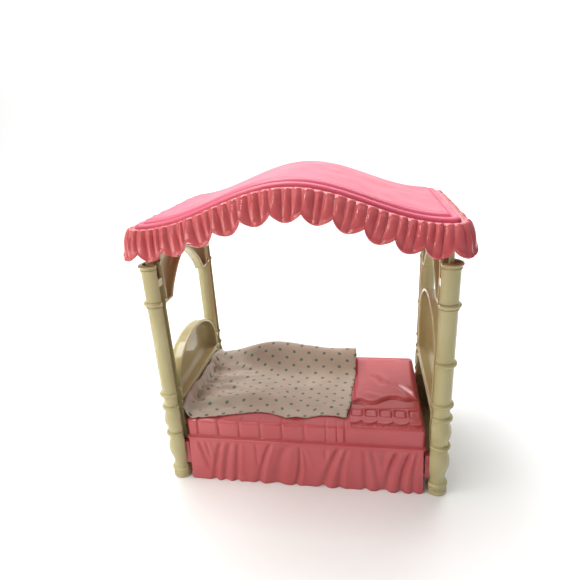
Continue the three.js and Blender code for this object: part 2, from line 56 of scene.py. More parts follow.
def box_mm(node):
    """Lowest and highest corner of a CAD node, in millimetres."""
    low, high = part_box(node)
    return np.array(low) / MM, np.array(high) / MM


# ---------------------------------------------------------------- camera

CAMERA_PLACE = Vector((0.0355, -0.2536, 0.2015))
CAMERA_AZIMUTH = math.radians(10.0)      # to the right of straight on
CAMERA_ELEVATION = math.radians(20.47)   # above the horizon
CAMERA_ROLL = math.radians(-3.42)
SENSOR_WIDTH = 36
CAMERA_LENS = 28.6                       # millimetres, on that sensor
CAMERA_SHIFT = 0.0013                    # share of the picture's width


def make_camera():
    back = Vector((math.sin(CAMERA_AZIMUTH) * math.cos(CAMERA_ELEVATION),
                   -math.cos(CAMERA_AZIMUTH) * math.cos(CAMERA_ELEVATION),
                   math.sin(CAMERA_ELEVATION)))
    level = Vector((0, 0, 1)).cross(back).normalized()
    upright = back.cross(level)
    right = level * math.cos(CAMERA_ROLL) + upright * math.sin(CAMERA_ROLL)
    up = back.cross(right)
    data = bpy.data.cameras.new("camera")
    data.sensor_width = SENSOR_WIDTH
    data.lens = CAMERA_LENS
    data.shift_x = CAMERA_SHIFT
    data.clip_start = 0.01
    camera = bpy.data.objects.new("camera", data)
    SCENE.collection.objects.link(camera)
    turn = Matrix((right, up, back)).transposed().to_4x4()
    camera.matrix_world = Matrix.Translation(CAMERA_PLACE) @ turn
    SCENE.camera = camera


make_camera()

# ---------------------------------------------------------------- mesh helpers


def smooth(edge0, edge1, x):
    """0 below edge0, 1 above edge1, with a soft rise between."""
    t = np.clip((x - edge0) / (edge1 - edge0), 0, 1)
    return t * t * (3 - 2 * t)


def grid_quads(rows, columns, wrap_rows=False, wrap_columns=False, start=0):
    r = np.arange(rows if wrap_rows else rows - 1)
    c = np.arange(columns if wrap_columns else columns - 1)
    row, column = np.meshgrid(r, c, indexing="ij")
    next_row, next_column = (row + 1) % rows, (column + 1) % columns
    corners = [row * columns + column, next_row * columns + column,
               next_row * columns + next_column, row * columns + next_column]
    return (np.stack(corners, axis=-1).reshape(-1, 4) + start).tolist()


def make_piece(name, parts, material, body, replaced=(), sharp=40.0):
    """One object from a list of (points in mm, faces). Faces are turned to point outwards."""
    points, faces, start = [], [], 0
    for part_points, part_faces in parts:
        points.append(np.asarray(part_points, float).reshape(-1, 3))
        faces.extend([[i + start for i in face] for face in part_faces])
        start += len(points[-1])
    mesh = bpy.data.meshes.new(name)
    mesh.from_pydata((np.concatenate(points) * MM).tolist(), [], faces)
    mesh.validate()
    piece = bpy.data.objects.new(name, mesh)
    SCENE.collection.objects.link(piece)
    turn_outwards(mesh)
    mesh.shade_smooth()
    mesh.set_sharp_from_angle(angle=math.radians(sharp))
    mesh.materials.append(material)
    finish_piece(piece, body, replaced)
    return piece


def turn_outwards(mesh):
    work = bmesh.new()
    work.from_mesh(mesh)
    bmesh.ops.recalc_face_normals(work, faces=work.faces)
    work.to_mesh(mesh)
    work.free()


def finish_piece(piece, body, replaced):
    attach(piece, body)
    if replaced:
        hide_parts(*replaced)


def loft(loops, close_start=True, close_end=True):
    """Closed rings of points joined into a skin, with a face over each end."""
    loops = np.asarray(loops, float)
    rings, count = loops.shape[0], loops.shape[1]
    faces = grid_quads(rings, count, wrap_columns=True)
    if close_start:
        faces.append(list(range(count)))
    if close_end:
        faces.append([(rings - 1) * count + i for i in range(count)])
    return loops.reshape(-1, 3), faces


def ring_sweep(loops):
    """Rings of points joined into a skin that closes on itself both ways."""
    loops = np.asarray(loops, float)
    faces = grid_quads(loops.shape[0], loops.shape[1], True, True)
    return loops.reshape(-1, 3), faces


def thick_sheet(outer, inner):
    """A sheet from its outer and inner grids of points, closed round its edges."""
    outer, inner = np.asarray(outer, float), np.asarray(inner, float)
    rows, columns = outer.shape[:2]
    count = rows * columns
    faces = grid_quads(rows, columns) + grid_quads(rows, columns, start=count)
    index = np.arange(count).reshape(rows, columns)
    rim = [*index[:, 0], *index[-1, 1:], *index[-2::-1, -1], *index[0, -2:0:-1]]
    for a, b in zip(rim, rim[1:] + rim[:1]):
        faces.append([int(a), int(b), int(b) + count, int(a) + count])
    return np.concatenate([outer.reshape(-1, 3), inner.reshape(-1, 3)]), faces


def relief(xs, ys, heights, base):
    """A raised patch: a grid of heights over a flat base. ys may be one row or one for each x."""
    xs = np.asarray(xs, float)
    ys = np.broadcast_to(np.asarray(ys, float), heights.shape)
    top = np.stack([np.repeat(xs[:, None], heights.shape[1], 1), ys, heights], -1)
    under = top.copy()
    under[..., 2] = base
    return thick_sheet(top, under)


def mirrored(parts, end_sign, side_sign):
    flip = np.array([end_sign, side_sign, 1.0])
    return [(np.asarray(points) * flip, faces) for points, faces in parts]


# ---------------------------------------------------------------- materials

PINK = (0.54, 0.100, 0.112, 1)
PINK_DEEP = (0.51, 0.088, 0.098, 1)
PINK_PALE = (0.57, 0.115, 0.128, 1)
# The roof's three pinks below are the canopy's pink plastic made lighter and bluer: painted top light, standing in
# for the cool light that falls on the roof's top.
ROOF_PINK_PAINTED_TOPLIGHT = (0.62, 0.098, 0.165, 1)
ROOF_DEEP_PAINTED_TOPLIGHT = (0.60, 0.09, 0.152, 1)
ROOF_PALE_PAINTED_TOPLIGHT = (0.64, 0.108, 0.18, 1)
CREAM = (0.47, 0.42, 0.215, 1)
CREAM_DEEP = (0.44, 0.385, 0.185, 1)
CREAM_PALE = (0.50, 0.455, 0.245, 1)


class Nodes:
    """Short names for building one material's nodes."""

    def __init__(self, name):
        self.material = bpy.data.materials.new(name)
        self.material.use_nodes = True
        self.tree = self.material.node_tree
        self.shader = self.tree.nodes["Principled BSDF"]

    def add(self, kind, **values):
        node = self.tree.nodes.new(kind)
        for key, value in values.items():
            if hasattr(node, key):
                setattr(node, key, value)
            else:
                node.inputs[key.replace("_", " ").title()].default_value = value
        return node

    def link(self, out, into):
        self.tree.links.new(out, into)

    def place(self):
        """Object coordinates, in metres."""
        return self.add("ShaderNodeTexCoord").outputs["Object"]

    def noise(self, place, scale, detail=3.0, roughness=0.5):
        node = self.add("ShaderNodeTexNoise", Scale=scale, Detail=detail, Roughness=roughness)
        self.link(place, node.inputs["Vector"])
        return node.outputs["Fac"]

    def stretch(self, place, scale):
        node = self.add("ShaderNodeMapping")
        node.inputs["Scale"].default_value = scale
        self.link(place, node.inputs["Vector"])
        return node.outputs["Vector"]

    def ramp(self, fac, stops):
        node = self.add("ShaderNodeValToRGB")
        ramp = node.color_ramp
        while len(ramp.elements) < len(stops):
            ramp.elements.new(0.5)
        for element, (position, colour) in zip(ramp.elements, stops):
            element.position = position
            element.color = colour if len(colour) == 4 else (*colour, 1)
        self.link(fac, node.inputs["Fac"])
        return node.outputs["Color"]

    def mix(self, fac, a, b, blend="MIX"):
        node = self.add("ShaderNodeMix", data_type="RGBA", blend_type=blend)
        self.put(fac, node.inputs[0])
        self.put(a, node.inputs[6])
        self.put(b, node.inputs[7])
        return node.outputs[2]

    def put(self, value, socket):
        if isinstance(value, bpy.types.NodeSocket):
            self.link(value, socket)
        else:
            socket.default_value = value

    def math(self, operation, *values):
        node = self.add("ShaderNodeMath", operation=operation)
        for value, socket in zip(values, node.inputs):
            self.put(value, socket)
        return node.outputs[0]

    def spread(self, value, low, high, to_low, to_high):
        node = self.add("ShaderNodeMapRange")
        self.link(value, node.inputs["Value"])
        for key, number in (("From Min", low), ("From Max", high), ("To Min", to_low), ("To Max", to_high)):
            node.inputs[key].default_value = number
        return node.outputs[0]

    def vector(self, operation, *values):
        node = self.add("ShaderNodeVectorMath", operation=operation)
        for value, socket in zip(values, node.inputs):
            self.put(value, socket)
        return node.outputs[0]

    def bump(self, height, strength, distance, below=None):
        node = self.add("ShaderNodeBump")
        node.inputs["Strength"].default_value = strength
        node.inputs["Distance"].default_value = distance
        self.link(height, node.inputs["Height"])
        if below is not None:
            self.link(below, node.inputs["Normal"])
        return node.outputs["Normal"]


def moulded_plastic(name, base, deep, pale, roughness, subsurface):
    """Glossy injection-moulded plastic: cloudy colour, fine ripple, handling scuffs and dust."""
    n = Nodes(name)
    place = n.place()
    cloud = n.noise(place, 28.0, 3.0)
    body = n.ramp(cloud, [(0.3, deep), (0.5, base), (0.72, pale)])
    grime = n.noise(place, 160.0, 5.0, 0.65)
    body = n.mix(n.spread(grime, 0.5, 0.85, 0.0, 0.2), body, deep)
    scratch_place = n.stretch(place, (1.0, 1.0, 9.0))
    scratches = n.noise(scratch_place, 420.0, 6.0, 0.7)
    scuff = n.spread(scratches, 0.66, 0.78, 0.0, 1.0)
    body = n.mix(n.math("MULTIPLY", scuff, 0.12), body, pale)
    n.link(body, n.shader.inputs["Base Color"])
    gloss = n.spread(n.noise(place, 70.0, 4.0), 0.35, 0.7, roughness - 0.04, roughness + 0.09)
    n.link(n.math("ADD", gloss, n.math("MULTIPLY", scuff, 0.18)), n.shader.inputs["Roughness"])
    ripple = n.bump(n.noise(place, 120.0, 2.0), 0.2, 0.0003)
    grain = n.bump(n.noise(place, 1900.0, 3.0), 0.06, 0.00006, ripple)
    fine = n.bump(scuff, 0.08, 0.00005, grain)
    n.link(fine, n.shader.inputs["Normal"])
    n.shader.inputs["IOR"].default_value = 1.49
    n.shader.inputs["Subsurface Weight"].default_value = subsurface
    n.shader.inputs["Subsurface Radius"].default_value = (1.0, 0.45, 0.35)
    n.shader.inputs["Subsurface Scale"].default_value = 0.0025
    return n.material


pink_base = moulded_plastic("pink_base_plastic", PINK, PINK_DEEP, PINK_PALE, 0.12, 0.2)
pink_canopy = moulded_plastic("pink_canopy_plastic", PINK, PINK_DEEP, PINK_PALE, 0.11, 0.2)
# The roof's material carries painted top light in its lighter, bluer pinks.
pink_roof_painted_toplight = moulded_plastic("pink_roof_plastic_painted_toplight", ROOF_PINK_PAINTED_TOPLIGHT, ROOF_DEEP_PAINTED_TOPLIGHT, ROOF_PALE_PAINTED_TOPLIGHT, 0.4, 0.2)
cream_frame = moulded_plastic("cream_frame_plastic", CREAM, CREAM_DEEP, CREAM_PALE, 0.12, 0.25)


# ---------------------------------------------------------------- canopy

ROOF_RISE = 18.1
ROOF_WAVE = 74.0             # from the crest to the level end of the wave
ROOF_SHELL = 1.5
PIPING = 4.1                 # width of the piping with the groove inside it
PIPING_DROP = 1.5            # top of the piping, below the roof plate
GROOVE = 3.9                 # bottom of the groove outside the piping
CORNER_INSET = 3.7           # first cusp of the valance, in from the roof's corner
SIDE_LOBES = 11
END_LOBES = 6
LOBE_STEPS = 36
VALANCE_ROWS = 44
VALANCE_SHELL = 1.2
VALANCE_START = 3.3
CUSP_DROP = 14.2
LOBE_DROP = 18.4
FLUTES = 3                   # in each lobe
FLUTE_HEIGHT = 1.3
LEAN = 9.0                   # the flutes lean square to the roof's wave
SCALLOP_POWER = 0.38         # below 1, lobes with blunt bottoms and narrow cusps
HEM_LEAN = 1.3               # how far the lobes lean the same way

roof_low, roof_high = box_mm("canopy_top")
side_low, side_high = box_mm("valance_front")
end_low, end_high = box_mm("valance_head")
ROOF_LENGTH = roof_high[0]
ROOF_WIDTH = roof_high[1]
ROOF_EAVES = roof_high[2] - ROOF_RISE
SIDE_FLARE = -side_low[1] - ROOF_WIDTH
END_FLARE = end_high[0] - ROOF_LENGTH


def crest(x):
    """Height of the roof plate: one wave from end to end."""
    wave = np.cos(np.pi * np.clip(x, -ROOF_WAVE, ROOF_WAVE) / ROOF_WAVE)
    return ROOF_EAVES + ROOF_RISE * (1 + wave) / 2


def crest_slope(x):
    slope = -ROOF_RISE * np.pi / ROOF_WAVE * np.sin(np.pi * x / ROOF_WAVE) / 2
    return np.where(np.abs(x) < ROOF_WAVE, slope, 0)


class Rim:
    """Points round the roof's plan: place, outward direction, lobe count, flare, and 1 on the sides."""

    def __init__(self):
        self.rows = []
        self.lobe = 0
        length, width = ROOF_LENGTH, ROOF_WIDTH
        cusp_x, cusp_y = length - CORNER_INSET, width - CORNER_INSET
        self.straight((-cusp_x, -width), (cusp_x, -width), (0, -1), SIDE_LOBES, SIDE_FLARE, 1)
        self.corner((cusp_x, -cusp_y), -np.pi / 2, SIDE_FLARE, END_FLARE)
        self.straight((length, -cusp_y), (length, cusp_y), (1, 0), END_LOBES, END_FLARE, 0)
        self.corner((cusp_x, cusp_y), 0, END_FLARE, SIDE_FLARE)
        self.straight((cusp_x, width), (-cusp_x, width), (0, 1), SIDE_LOBES, SIDE_FLARE, 1)
        self.corner((-cusp_x, cusp_y), np.pi / 2, SIDE_FLARE, END_FLARE)
        self.straight((-length, cusp_y), (-length, -cusp_y), (-1, 0), END_LOBES, END_FLARE, 0)
        self.corner((-cusp_x, -cusp_y), np.pi, END_FLARE, SIDE_FLARE)
        table = np.array(self.rows)
        self.place, self.out = table[:, 0:2], table[:, 2:4]
        self.lobes, self.flare, self.is_side = table[:, 4], table[:, 5], table[:, 6]

    def straight(self, start, end, out, count, flare, side):
        steps = count * LOBE_STEPS
        for t in np.arange(steps) / steps:
            x, y = (start[k] * (1 - t) + end[k] * t for k in (0, 1))
            self.rows.append((x, y, *out, self.lobe + t * count, flare, side))
        self.lobe += count

    def corner(self, centre, start_angle, flare_from, flare_to):
        for t in np.arange(LOBE_STEPS) / LOBE_STEPS:
            angle = start_angle + t * np.pi / 2
            out = (math.cos(angle), math.sin(angle))
            x, y = (centre[k] + CORNER_INSET * out[k] for k in (0, 1))
            self.rows.append((x, y, *out, self.lobe + t, flare_from * (1 - t) + flare_to * t, 0))
        self.lobe += 1


def flute_crowns(lobes, down):
    """0 in the valleys between flutes, up to 1 along their crowns. No two flutes are quite alike."""
    random = np.random.default_rng(7)
    count = int(round(lobes.max() + 0.5)) * FLUTES
    nudge = random.uniform(-0.17, 0.17, count + 1)
    nudge[::FLUTES] *= 0.4
    nudge[-1] = nudge[0]
    sway = random.uniform(-0.12, 0.12, count + 1)
    sway[-1] = sway[0]
    tall = random.uniform(0.78, 1.15, count)
    along = lobes * FLUTES
    index = np.minimum(np.floor(along).astype(int), count - 1)
    shift = nudge + sway * (down - 0.5)
    best = np.zeros(len(lobes))
    for step in (-1, 0, 1):
        flute = (index + step) % count
        left = index + step + shift[flute]
        right = index + step + 1 + shift[(flute + 1) % count]
        t = (along - left) / (right - left)
        inside = (t >= 0) & (t <= 1)
        bulge = np.sin(np.pi * np.clip(t, 0, 1)) ** 0.75
        best = np.where(inside, bulge * tall[flute], best)
    return best


def valance_curve(v):
    """The valance's section from the groove to the hem, as shares of the flare and the drop."""
    first, second = (0.62, 0.0), (0.66, 0.32)
    w = [3 * v * (1 - v) ** 2, 3 * v * v * (1 - v), v ** 3]
    out = w[0] * first[0] + w[1] * second[0] + w[2]
    fall = w[0] * first[1] + w[1] * second[1] + w[2]
    return out, fall


def make_valance():
    """The fluted frill round the roof, with its scalloped hem."""
    rim = Rim()
    scallop = ((1 - np.cos(2 * np.pi * rim.lobes)) / 2) ** SCALLOP_POWER
    drop = CUSP_DROP + (LOBE_DROP - CUSP_DROP) * scallop - VALANCE_START
    lean = -crest_slope(rim.place[:, 0]) * LEAN * rim.is_side
    hem_lean = crest_slope(rim.place[:, 0]) * (drop - drop.mean()) * HEM_LEAN * rim.is_side
    outer, inner = [], []
    for v in np.linspace(0, 1, VALANCE_ROWS):
        out, fall = valance_curve(v)
        next_out, next_fall = valance_curve(v + 0.01)
        step_out, step_fall = (next_out - out) * rim.flare, (next_fall - fall) * drop
        length = np.hypot(step_out, step_fall)
        normal_out, normal_up = step_fall / length, step_out / length
        height = FLUTE_HEIGHT * flute_crowns(rim.lobes, v) * smooth(0.05, 0.30, v)
        height *= 1 - 0.55 * smooth(0.72, 0.97, v)
        height += 0.28 * smooth(0.94, 0.98, v)
        lip = (GROOVE - VALANCE_START) * (1 - smooth(0, 0.12, v))
        shift = lean * (1 - fall) + hem_lean * fall
        base_z = crest(rim.place[:, 0] + lean * (1 - fall)) - VALANCE_START - drop * fall
        for rows_list, offset in ((outer, height), (inner, height * 0.35 - VALANCE_SHELL)):
            reach = rim.flare * out + offset * normal_out
            xy = rim.place + rim.out * reach[:, None]
            z = base_z + offset * normal_up - lip
            rows_list.append(np.stack([xy[:, 0] + shift, xy[:, 1], z], 1))
    hem_outer, hem_inner = outer[-1], inner[-1]
    hem = (hem_outer + hem_inner) / 2
    hem[:, 2] -= 0.45
    return [ring_sweep([*outer, hem, *inner[::-1]])]


def make_roof():
    """The roof plate and, round it, the step down to the piping and the groove outside that."""
    rim = Rim()
    under = -PIPING_DROP - ROOF_SHELL
    section = [(PIPING + 3.4, under), (PIPING + 3.4, -0.03), (PIPING + 2.4, -0.12), (PIPING + 1.4, -0.42),
               (PIPING + 0.7, -0.9), (PIPING + 0.25, -1.5), (PIPING, -2.1), (PIPING - 0.25, -2.35),
               (PIPING - 0.5, -2.3)]
    middle, half, rise = 1.95, 1.75, 0.95
    for a in np.radians(np.linspace(15, 90, 8)):
        section.append((middle + half * math.cos(a), -PIPING_DROP - rise * (1 - math.sin(a))))
    for a in np.radians(np.linspace(0, 90, 10))[1:]:
        section.append((middle - 1.85 * math.sin(a), -PIPING_DROP - 1.7 * (1 - math.cos(a))))
    section += [(0.08, -GROOVE + 0.4), (-0.05, -GROOVE), (-0.3, -GROOVE - 0.2), (0.4, -GROOVE - 0.9)]
    loops = []
    for inset, height in section:
        xy = rim.place - rim.out * inset
        if inset > CORNER_INSET:
            corner = np.array([ROOF_LENGTH - inset, ROOF_WIDTH - inset])
            xy = np.clip(xy, -corner, corner)
        loops.append(np.stack([xy[:, 0], xy[:, 1], crest(xy[:, 0]) + height], 1))
    half = np.array([ROOF_LENGTH - PIPING - 3, ROOF_WIDTH - PIPING - 3])
    x, y = np.meshgrid(np.linspace(-half[0], half[0], 160), np.linspace(-half[1], half[1], 60), indexing="ij")
    edge = np.minimum(1, np.minimum(half[0] - np.abs(x), half[1] - np.abs(y)) / 20)
    swell = 0.08 * np.cos(x * 0.13 + 1) * np.cos(y * 0.09) + 0.3 * (1 - (1 - edge) ** 2)
    top = np.stack([x, y, crest(x) - 0.03 + swell * edge], -1)
    bottom = np.stack([x, y, crest(x) - ROOF_SHELL], -1)
    return [ring_sweep(loops), thick_sheet(top, bottom)]


make_piece("canopy_roof", make_roof(), pink_roof_painted_toplight, "canopy", ["canopy_top"])
valance_nodes = [f"valance_{n}" for n in (*SIDES, "head", "foot")]
valance_nodes += [f"valance_corner_{n}" for n, _, _ in CORNERS]
make_piece("canopy_valance", make_valance(), pink_canopy, "canopy", valance_nodes, 60)

# ---------------------------------------------------------------- posts

CHANNEL_HALF = 2.2
CHANNEL_BACK = 3.2
CHANNEL_BOTTOM = 7.5
CUP_RADIUS = 3.9
CUP_BOTTOM = 126.5
CUP_FLOOR = 4.0
POST_CUT = 4.7               # the post is cut flat this far from its axis, on the bed's side
RINGS = [30.9, 48.9, 57.3, 113.3]
HEAD_RING = 81.5
RING_BEAD = 1.1
THIN_RINGS = [111.2, 131.8]
# The post between its rings, as (height, radius)
POST_CURVE = [(0, 5.7), (0.5, 5.95), (1.7, 5.95), (2.3, 5.25), (3.5, 5.2), (7.6, 4.6), (9.8, 4.45),
              (20.5, 6.3), (28.8, 4.95), (33.0, 4.95), (40, 6.3), (46.8, 4.95), (50.3, 4.8),
              (53, 4.65), (55.6, 4.85), (58.6, 5.0), (140, 4.95)]
POST_TOP = box_mm("post_head_front")[1][2]


def post_radius(z, is_head):
    heights = [p[0] for p in POST_CURVE]
    radii = [p[1] for p in POST_CURVE]
    i = min(max(np.searchsorted(heights, z, side="right") - 1, 0), len(heights) - 2)
    t = (z - heights[i]) / (heights[i + 1] - heights[i])
    radius = radii[i] + (radii[i + 1] - radii[i]) * (1 - math.cos(math.pi * t)) / 2
    for centre, bead, seat in post_beads(is_head):
        reach = bead * bead - (z - centre) ** 2
        if reach > 0:
            radius = max(radius, seat + math.sqrt(reach))
    return radius


def post_beads(is_head):
    """Height, half-height and seat radius of every raised ring."""
    beads = [(height, RING_BEAD, 5.2) for height in RINGS + ([HEAD_RING] if is_head else [])]
    beads += [(height, 0.3, 5.1) for height in THIN_RINGS]
    beads += [(5.5, 1.35, 4.75), (POST_TOP - 0.75, 0.75, 5.3)]
    return beads


def post_heights(is_head):
    heights = set(np.round(np.arange(0, POST_TOP, 1.3), 3))
    heights |= {p[0] for p in POST_CURVE if p[0] < POST_TOP}
    for centre, bead, _ in post_beads(is_head):
        for a in np.linspace(-90, 90, 11):
            heights.add(round(float(centre + 1.02 * bead * math.sin(math.radians(a))), 3))
    heights = sorted(h for h in heights if h < POST_TOP - 0.02)
    return heights + [POST_TOP]


def inner_path(kind, lip_x):
    """The post's inside at one level, from the lip on one side round to the other."""
    half = CHANNEL_HALF
    if kind == "solid":
        ys = np.linspace(half, -half, 26)
        return np.stack([np.full(26, lip_x), ys], 1)
    if kind == "channel":
        centre, radius, start = CHANNEL_BACK - half, half, np.pi / 2
    else:
        centre, radius, start = 0.0, CUP_RADIUS, np.pi - math.asin(half / CUP_RADIUS)
    first_x = centre + radius * math.cos(start)
    wall = np.linspace(lip_x, first_x, 5)[:4]
    angles = np.linspace(start, -start, 18)
    arc = np.stack([centre + radius * np.cos(angles), radius * np.sin(angles)], 1)
    near = np.stack([wall, np.full(4, half)], 1)
    far = np.stack([wall[::-1], np.full(4, -half)], 1)
    return np.concatenate([near, arc, far])


def post_loop(z, kind, is_head):
    radius = post_radius(z, is_head)
    chord = math.sqrt(max(radius * radius - POST_CUT * POST_CUT, 0))
    chord = max(chord, CHANNEL_HALF + 0.02)
    lip_x = -math.sqrt(radius * radius - chord * chord)
    start = math.atan2(chord, -lip_x)
    angles = np.linspace(math.pi + start, 3 * math.pi - start, 72)
    arc = np.stack([radius * np.cos(angles), radius * np.sin(angles)], 1)
    path = inner_path(kind, lip_x)
    flat = np.concatenate([arc, path])
    return np.concatenate([flat, np.full((len(flat), 1), z)], 1)


def make_post(is_head):
    channel_top = CUP_BOTTOM - CUP_FLOOR
    zones = [(-1, CHANNEL_BOTTOM, "solid"), (CHANNEL_BOTTOM, channel_top, "channel"),
             (channel_top, CUP_BOTTOM, "solid"), (CUP_BOTTOM, POST_TOP + 1, "cup")]
    loops = []
    for low, high, kind in zones:
        inside = [z for z in post_heights(is_head) if low < z < high]
        if low > 0:
            inside = [low] + inside
        if high < POST_TOP:
            inside = inside + [high]
        loops += [post_loop(z, kind, is_head) for z in inside]
    points, faces = loft(loops)
    points[:, :2] += [POST_X, -POST_Y]
    return [(points, faces)]


peg_low, peg_high = box_mm("roof_peg_head_front")
POST_X = (peg_low[0] + peg_high[0]) / 2
POST_Y = -(peg_low[1] + peg_high[1]) / 2


def make_peg():
    """A flat peg with rounded upright edges and a tip that narrows."""
    half = (peg_high - peg_low) / 2
    loops = []
    levels = [(peg_low[2], 1.0), (peg_high[2] - 2.5, 1.0), (peg_high[2] - 0.5, 0.86), (peg_high[2], 0.7)]
    for z, share in levels:
        a, b, r = half[0] * share, half[1] * share, 0.3
        loop = []
        centres = ((a - r, b - r, 0), (-a + r, b - r, 90), (-a + r, -b + r, 180), (a - r, -b + r, 270))
        for cx, cy, start in centres:
            for angle in np.radians(start + np.linspace(0, 90, 5)):
                loop.append((POST_X + cx + r * np.cos(angle), -POST_Y + cy + r * np.sin(angle), z))
        loops.append(loop)
    return [loft(loops)]


for corner, end, side in CORNERS:
    post = mirrored(make_post(end > 0), end, side)
    make_piece(f"ringed_post_{corner}", post, cream_frame, "bedstead", [f"post_{corner}"])
    peg = mirrored(make_peg(), end, side)
    make_piece(f"peg_{corner}", peg, cream_frame, "bedstead", [f"roof_peg_{corner}"])

# ---------------------------------------------------------------- end boards and panels

BOARD_WALL = 1.4
BOARD_ROUND = 4.0
LIP_BEAD = 0.8
BOARD_REACH = 34.7           # the boards run into the posts


def arch_outline(inset, half_width, bottom, spring, top, corner=1.5):
    """Upright arch outline as (y, z) points: level bottom, straight sides, half-ellipse top."""
    w, b, c = half_width - inset, bottom + inset, corner
    points = [(y, b) for y in np.linspace(-w + c, w - c, 50)]
    points += [(w - c + c * math.sin(a), b + c - c * math.cos(a)) for a in np.linspace(0.2, math.pi / 2, 6)]
    points += [(w, z) for z in np.linspace(b + c, spring, 18)[1:]]
    points += [(w * math.cos(a), spring + (top - inset - spring) * math.sin(a))
               for a in np.linspace(0, math.pi, 90)[1:-1]]
    points += [(-w, z) for z in np.linspace(spring, b + c, 18)[:-1]]
    points += [(-w + c - c * math.sin(a), b + c - c * math.cos(a)) for a in np.linspace(math.pi / 2, 0.2, 6)]
    return np.array(points)


def panel_outline(inset, half_width, bottom, top, corner):
    """Rounded rectangle outline as (y, z) points."""
    w, b, t = half_width - inset, bottom + inset, top - inset
    r = max(corner - inset, 0.6)
    points = []
    for cy, cz, start in ((w - r, b + r, -90), (w - r, t - r, 0), (-w + r, t - r, 90), (-w + r, b + r, 180)):
        for a in np.radians(start + np.linspace(0, 90, 9)):
            points.append((cy + r * math.cos(a), cz + r * math.sin(a)))
    return resample(np.array(points), 240)


def resample(points, count):
    """Evenly spaced points round a closed outline; further columns are carried along."""
    closed = np.concatenate([points, points[:1]])
    steps = np.linalg.norm(np.diff(closed[:, :2], axis=0), axis=1)
    length = np.concatenate([[0], np.cumsum(steps)])
    at = np.arange(count) / count * length[-1]
    return np.stack([np.interp(at, length, column) for column in closed.T], 1)


def dish(outline, near_x, depth, round_, wall, bead, centre=None):
    """A shallow moulded dish at the head end, open towards the bed, with a rounded lip."""
    far_x = near_x + depth
    inside, outside = [], []
    turn = np.linspace(0, math.pi / 2, 8)
    lip = [(bead - bead * math.cos(a), near_x + bead - bead * math.sin(a))
           for a in np.linspace(0, math.pi, 11)]
    outside += [(0, near_x + bead + 0.6), (0, far_x - round_)]
    outside += [(round_ - round_ * math.cos(a), far_x - round_ + round_ * math.sin(a)) for a in turn[1:]]
    inner_far = far_x - wall
    inside += [(wall + 0.05, near_x + bead + 0.8), (wall, inner_far - round_)]
    inside += [(wall + round_ - round_ * math.cos(a), inner_far - round_ + round_ * math.sin(a))
               for a in turn[1:]]
    section = outside[::-1] + lip + inside
    loops = []
    for inset, x in section:
        yz = outline(inset)
        loops.append(np.concatenate([np.full((len(yz), 1), x), yz], 1))
    first, last = loops[0], loops[-1]
    for share in (0.75, 0.5, 0.25, 0.06):
        loops.insert(0, shrink(first, share, centre))
        loops.append(shrink(last, share, centre))
    return [loft(loops)]


def shrink(loop, share, centre=None):
    """The loop drawn in towards its middle, to fill a flat face."""
    middle = (loop.max(0) + loop.min(0)) / 2
    if centre is not None:
        middle[1:] = centre
    return middle + (loop - middle) * share


def make_board(node):
    low, high = box_mm(node)
    is_head = high[0] > 0
    near_x = min(abs(low[0]), abs(high[0]))
    depth = high[0] - low[0]
    spring = HEAD_RING if is_head else RINGS[2]
    outline = lambda inset: arch_outline(inset, BOARD_REACH, low[2] + 0.6, spring, high[2])
    return dish(outline, near_x, depth, BOARD_ROUND, BOARD_WALL, LIP_BEAD)


def make_panel(node):
    low, high = box_mm(node)
    near_x = min(abs(low[0]), abs(high[0]))
    outline = lambda inset: panel_outline(inset, high[1], low[2], high[2] + 0.8, 5.0)
    return dish(outline, near_x, high[0] - low[0], 3.0, BOARD_WALL, 0.7)


WEB_START = 25.6
WEB_CROWN = 132.0


def bezier(p0, p1, p2, p3, count):
    t = np.linspace(0, 1, count)[:, None]
    p0, p1, p2, p3 = (np.array(p, float) for p in (p0, p1, p2, p3))
    return (1 - t) ** 3 * p0 + 3 * t * (1 - t) ** 2 * p1 + 3 * t * t * (1 - t) * p2 + t ** 3 * p3


def web_outline(inset, ledge, top):
    """The arch web's outline as (y, z) points, inset by a margin."""
    half, z, t = BOARD_REACH - inset, ledge + inset, top - inset
    start, crown = WEB_START + inset, WEB_CROWN + inset
    rise = crown - z
    arch = bezier((start, z), (0.88 * start, z + 0.36 * rise),
                  (0.31 * start, z + 0.95 * rise), (0, crown), 40)
    level = np.stack([np.linspace(half, start, 10), np.full(10, z)], 1)[:-1]
    side = np.stack([np.full(16, half), np.linspace(t, z, 16)], 1)[:-1]
    upper = np.stack([np.linspace(0, half, 30), np.full(30, t)], 1)[:-1]
    right = np.concatenate([upper, side, level, arch])
    left = right[::-1][1:-1] * [-1, 1]
    return np.concatenate([right, left])


def make_web(node):
    """The arched web: a shallow dish, open towards the bed, with a rounded lip."""
    low, high = box_mm(node)
    near_x, far_x = min(abs(low[0]), abs(high[0])), max(abs(low[0]), abs(high[0]))
    outline = lambda inset: web_outline(inset, low[2], high[2])
    return dish(outline, near_x - 0.5, far_x - near_x + 0.5, 1.6, BOARD_WALL, LIP_BEAD, (0, 144))


for node in ("headboard", "footboard"):
    board = make_board(node)
    if node == "footboard":
        board = mirrored(board, -1, 1)
    make_piece(f"dished_{node}", board, cream_frame, "bedstead", [node], 55)
for end, sign in ENDS:
    panel = mirrored(make_panel(f"end_panel_{end}"), sign, 1)
    make_piece(f"panel_{end}", panel, cream_frame, "bedstead", [f"end_panel_{end}"], 55)
    web = mirrored(make_web(f"arch_web_{end}"), sign, 1)
    make_piece(f"web_{end}", web, cream_frame, "bedstead", [f"arch_web_{end}"], 55)

# ---------------------------------------------------------------- bed base

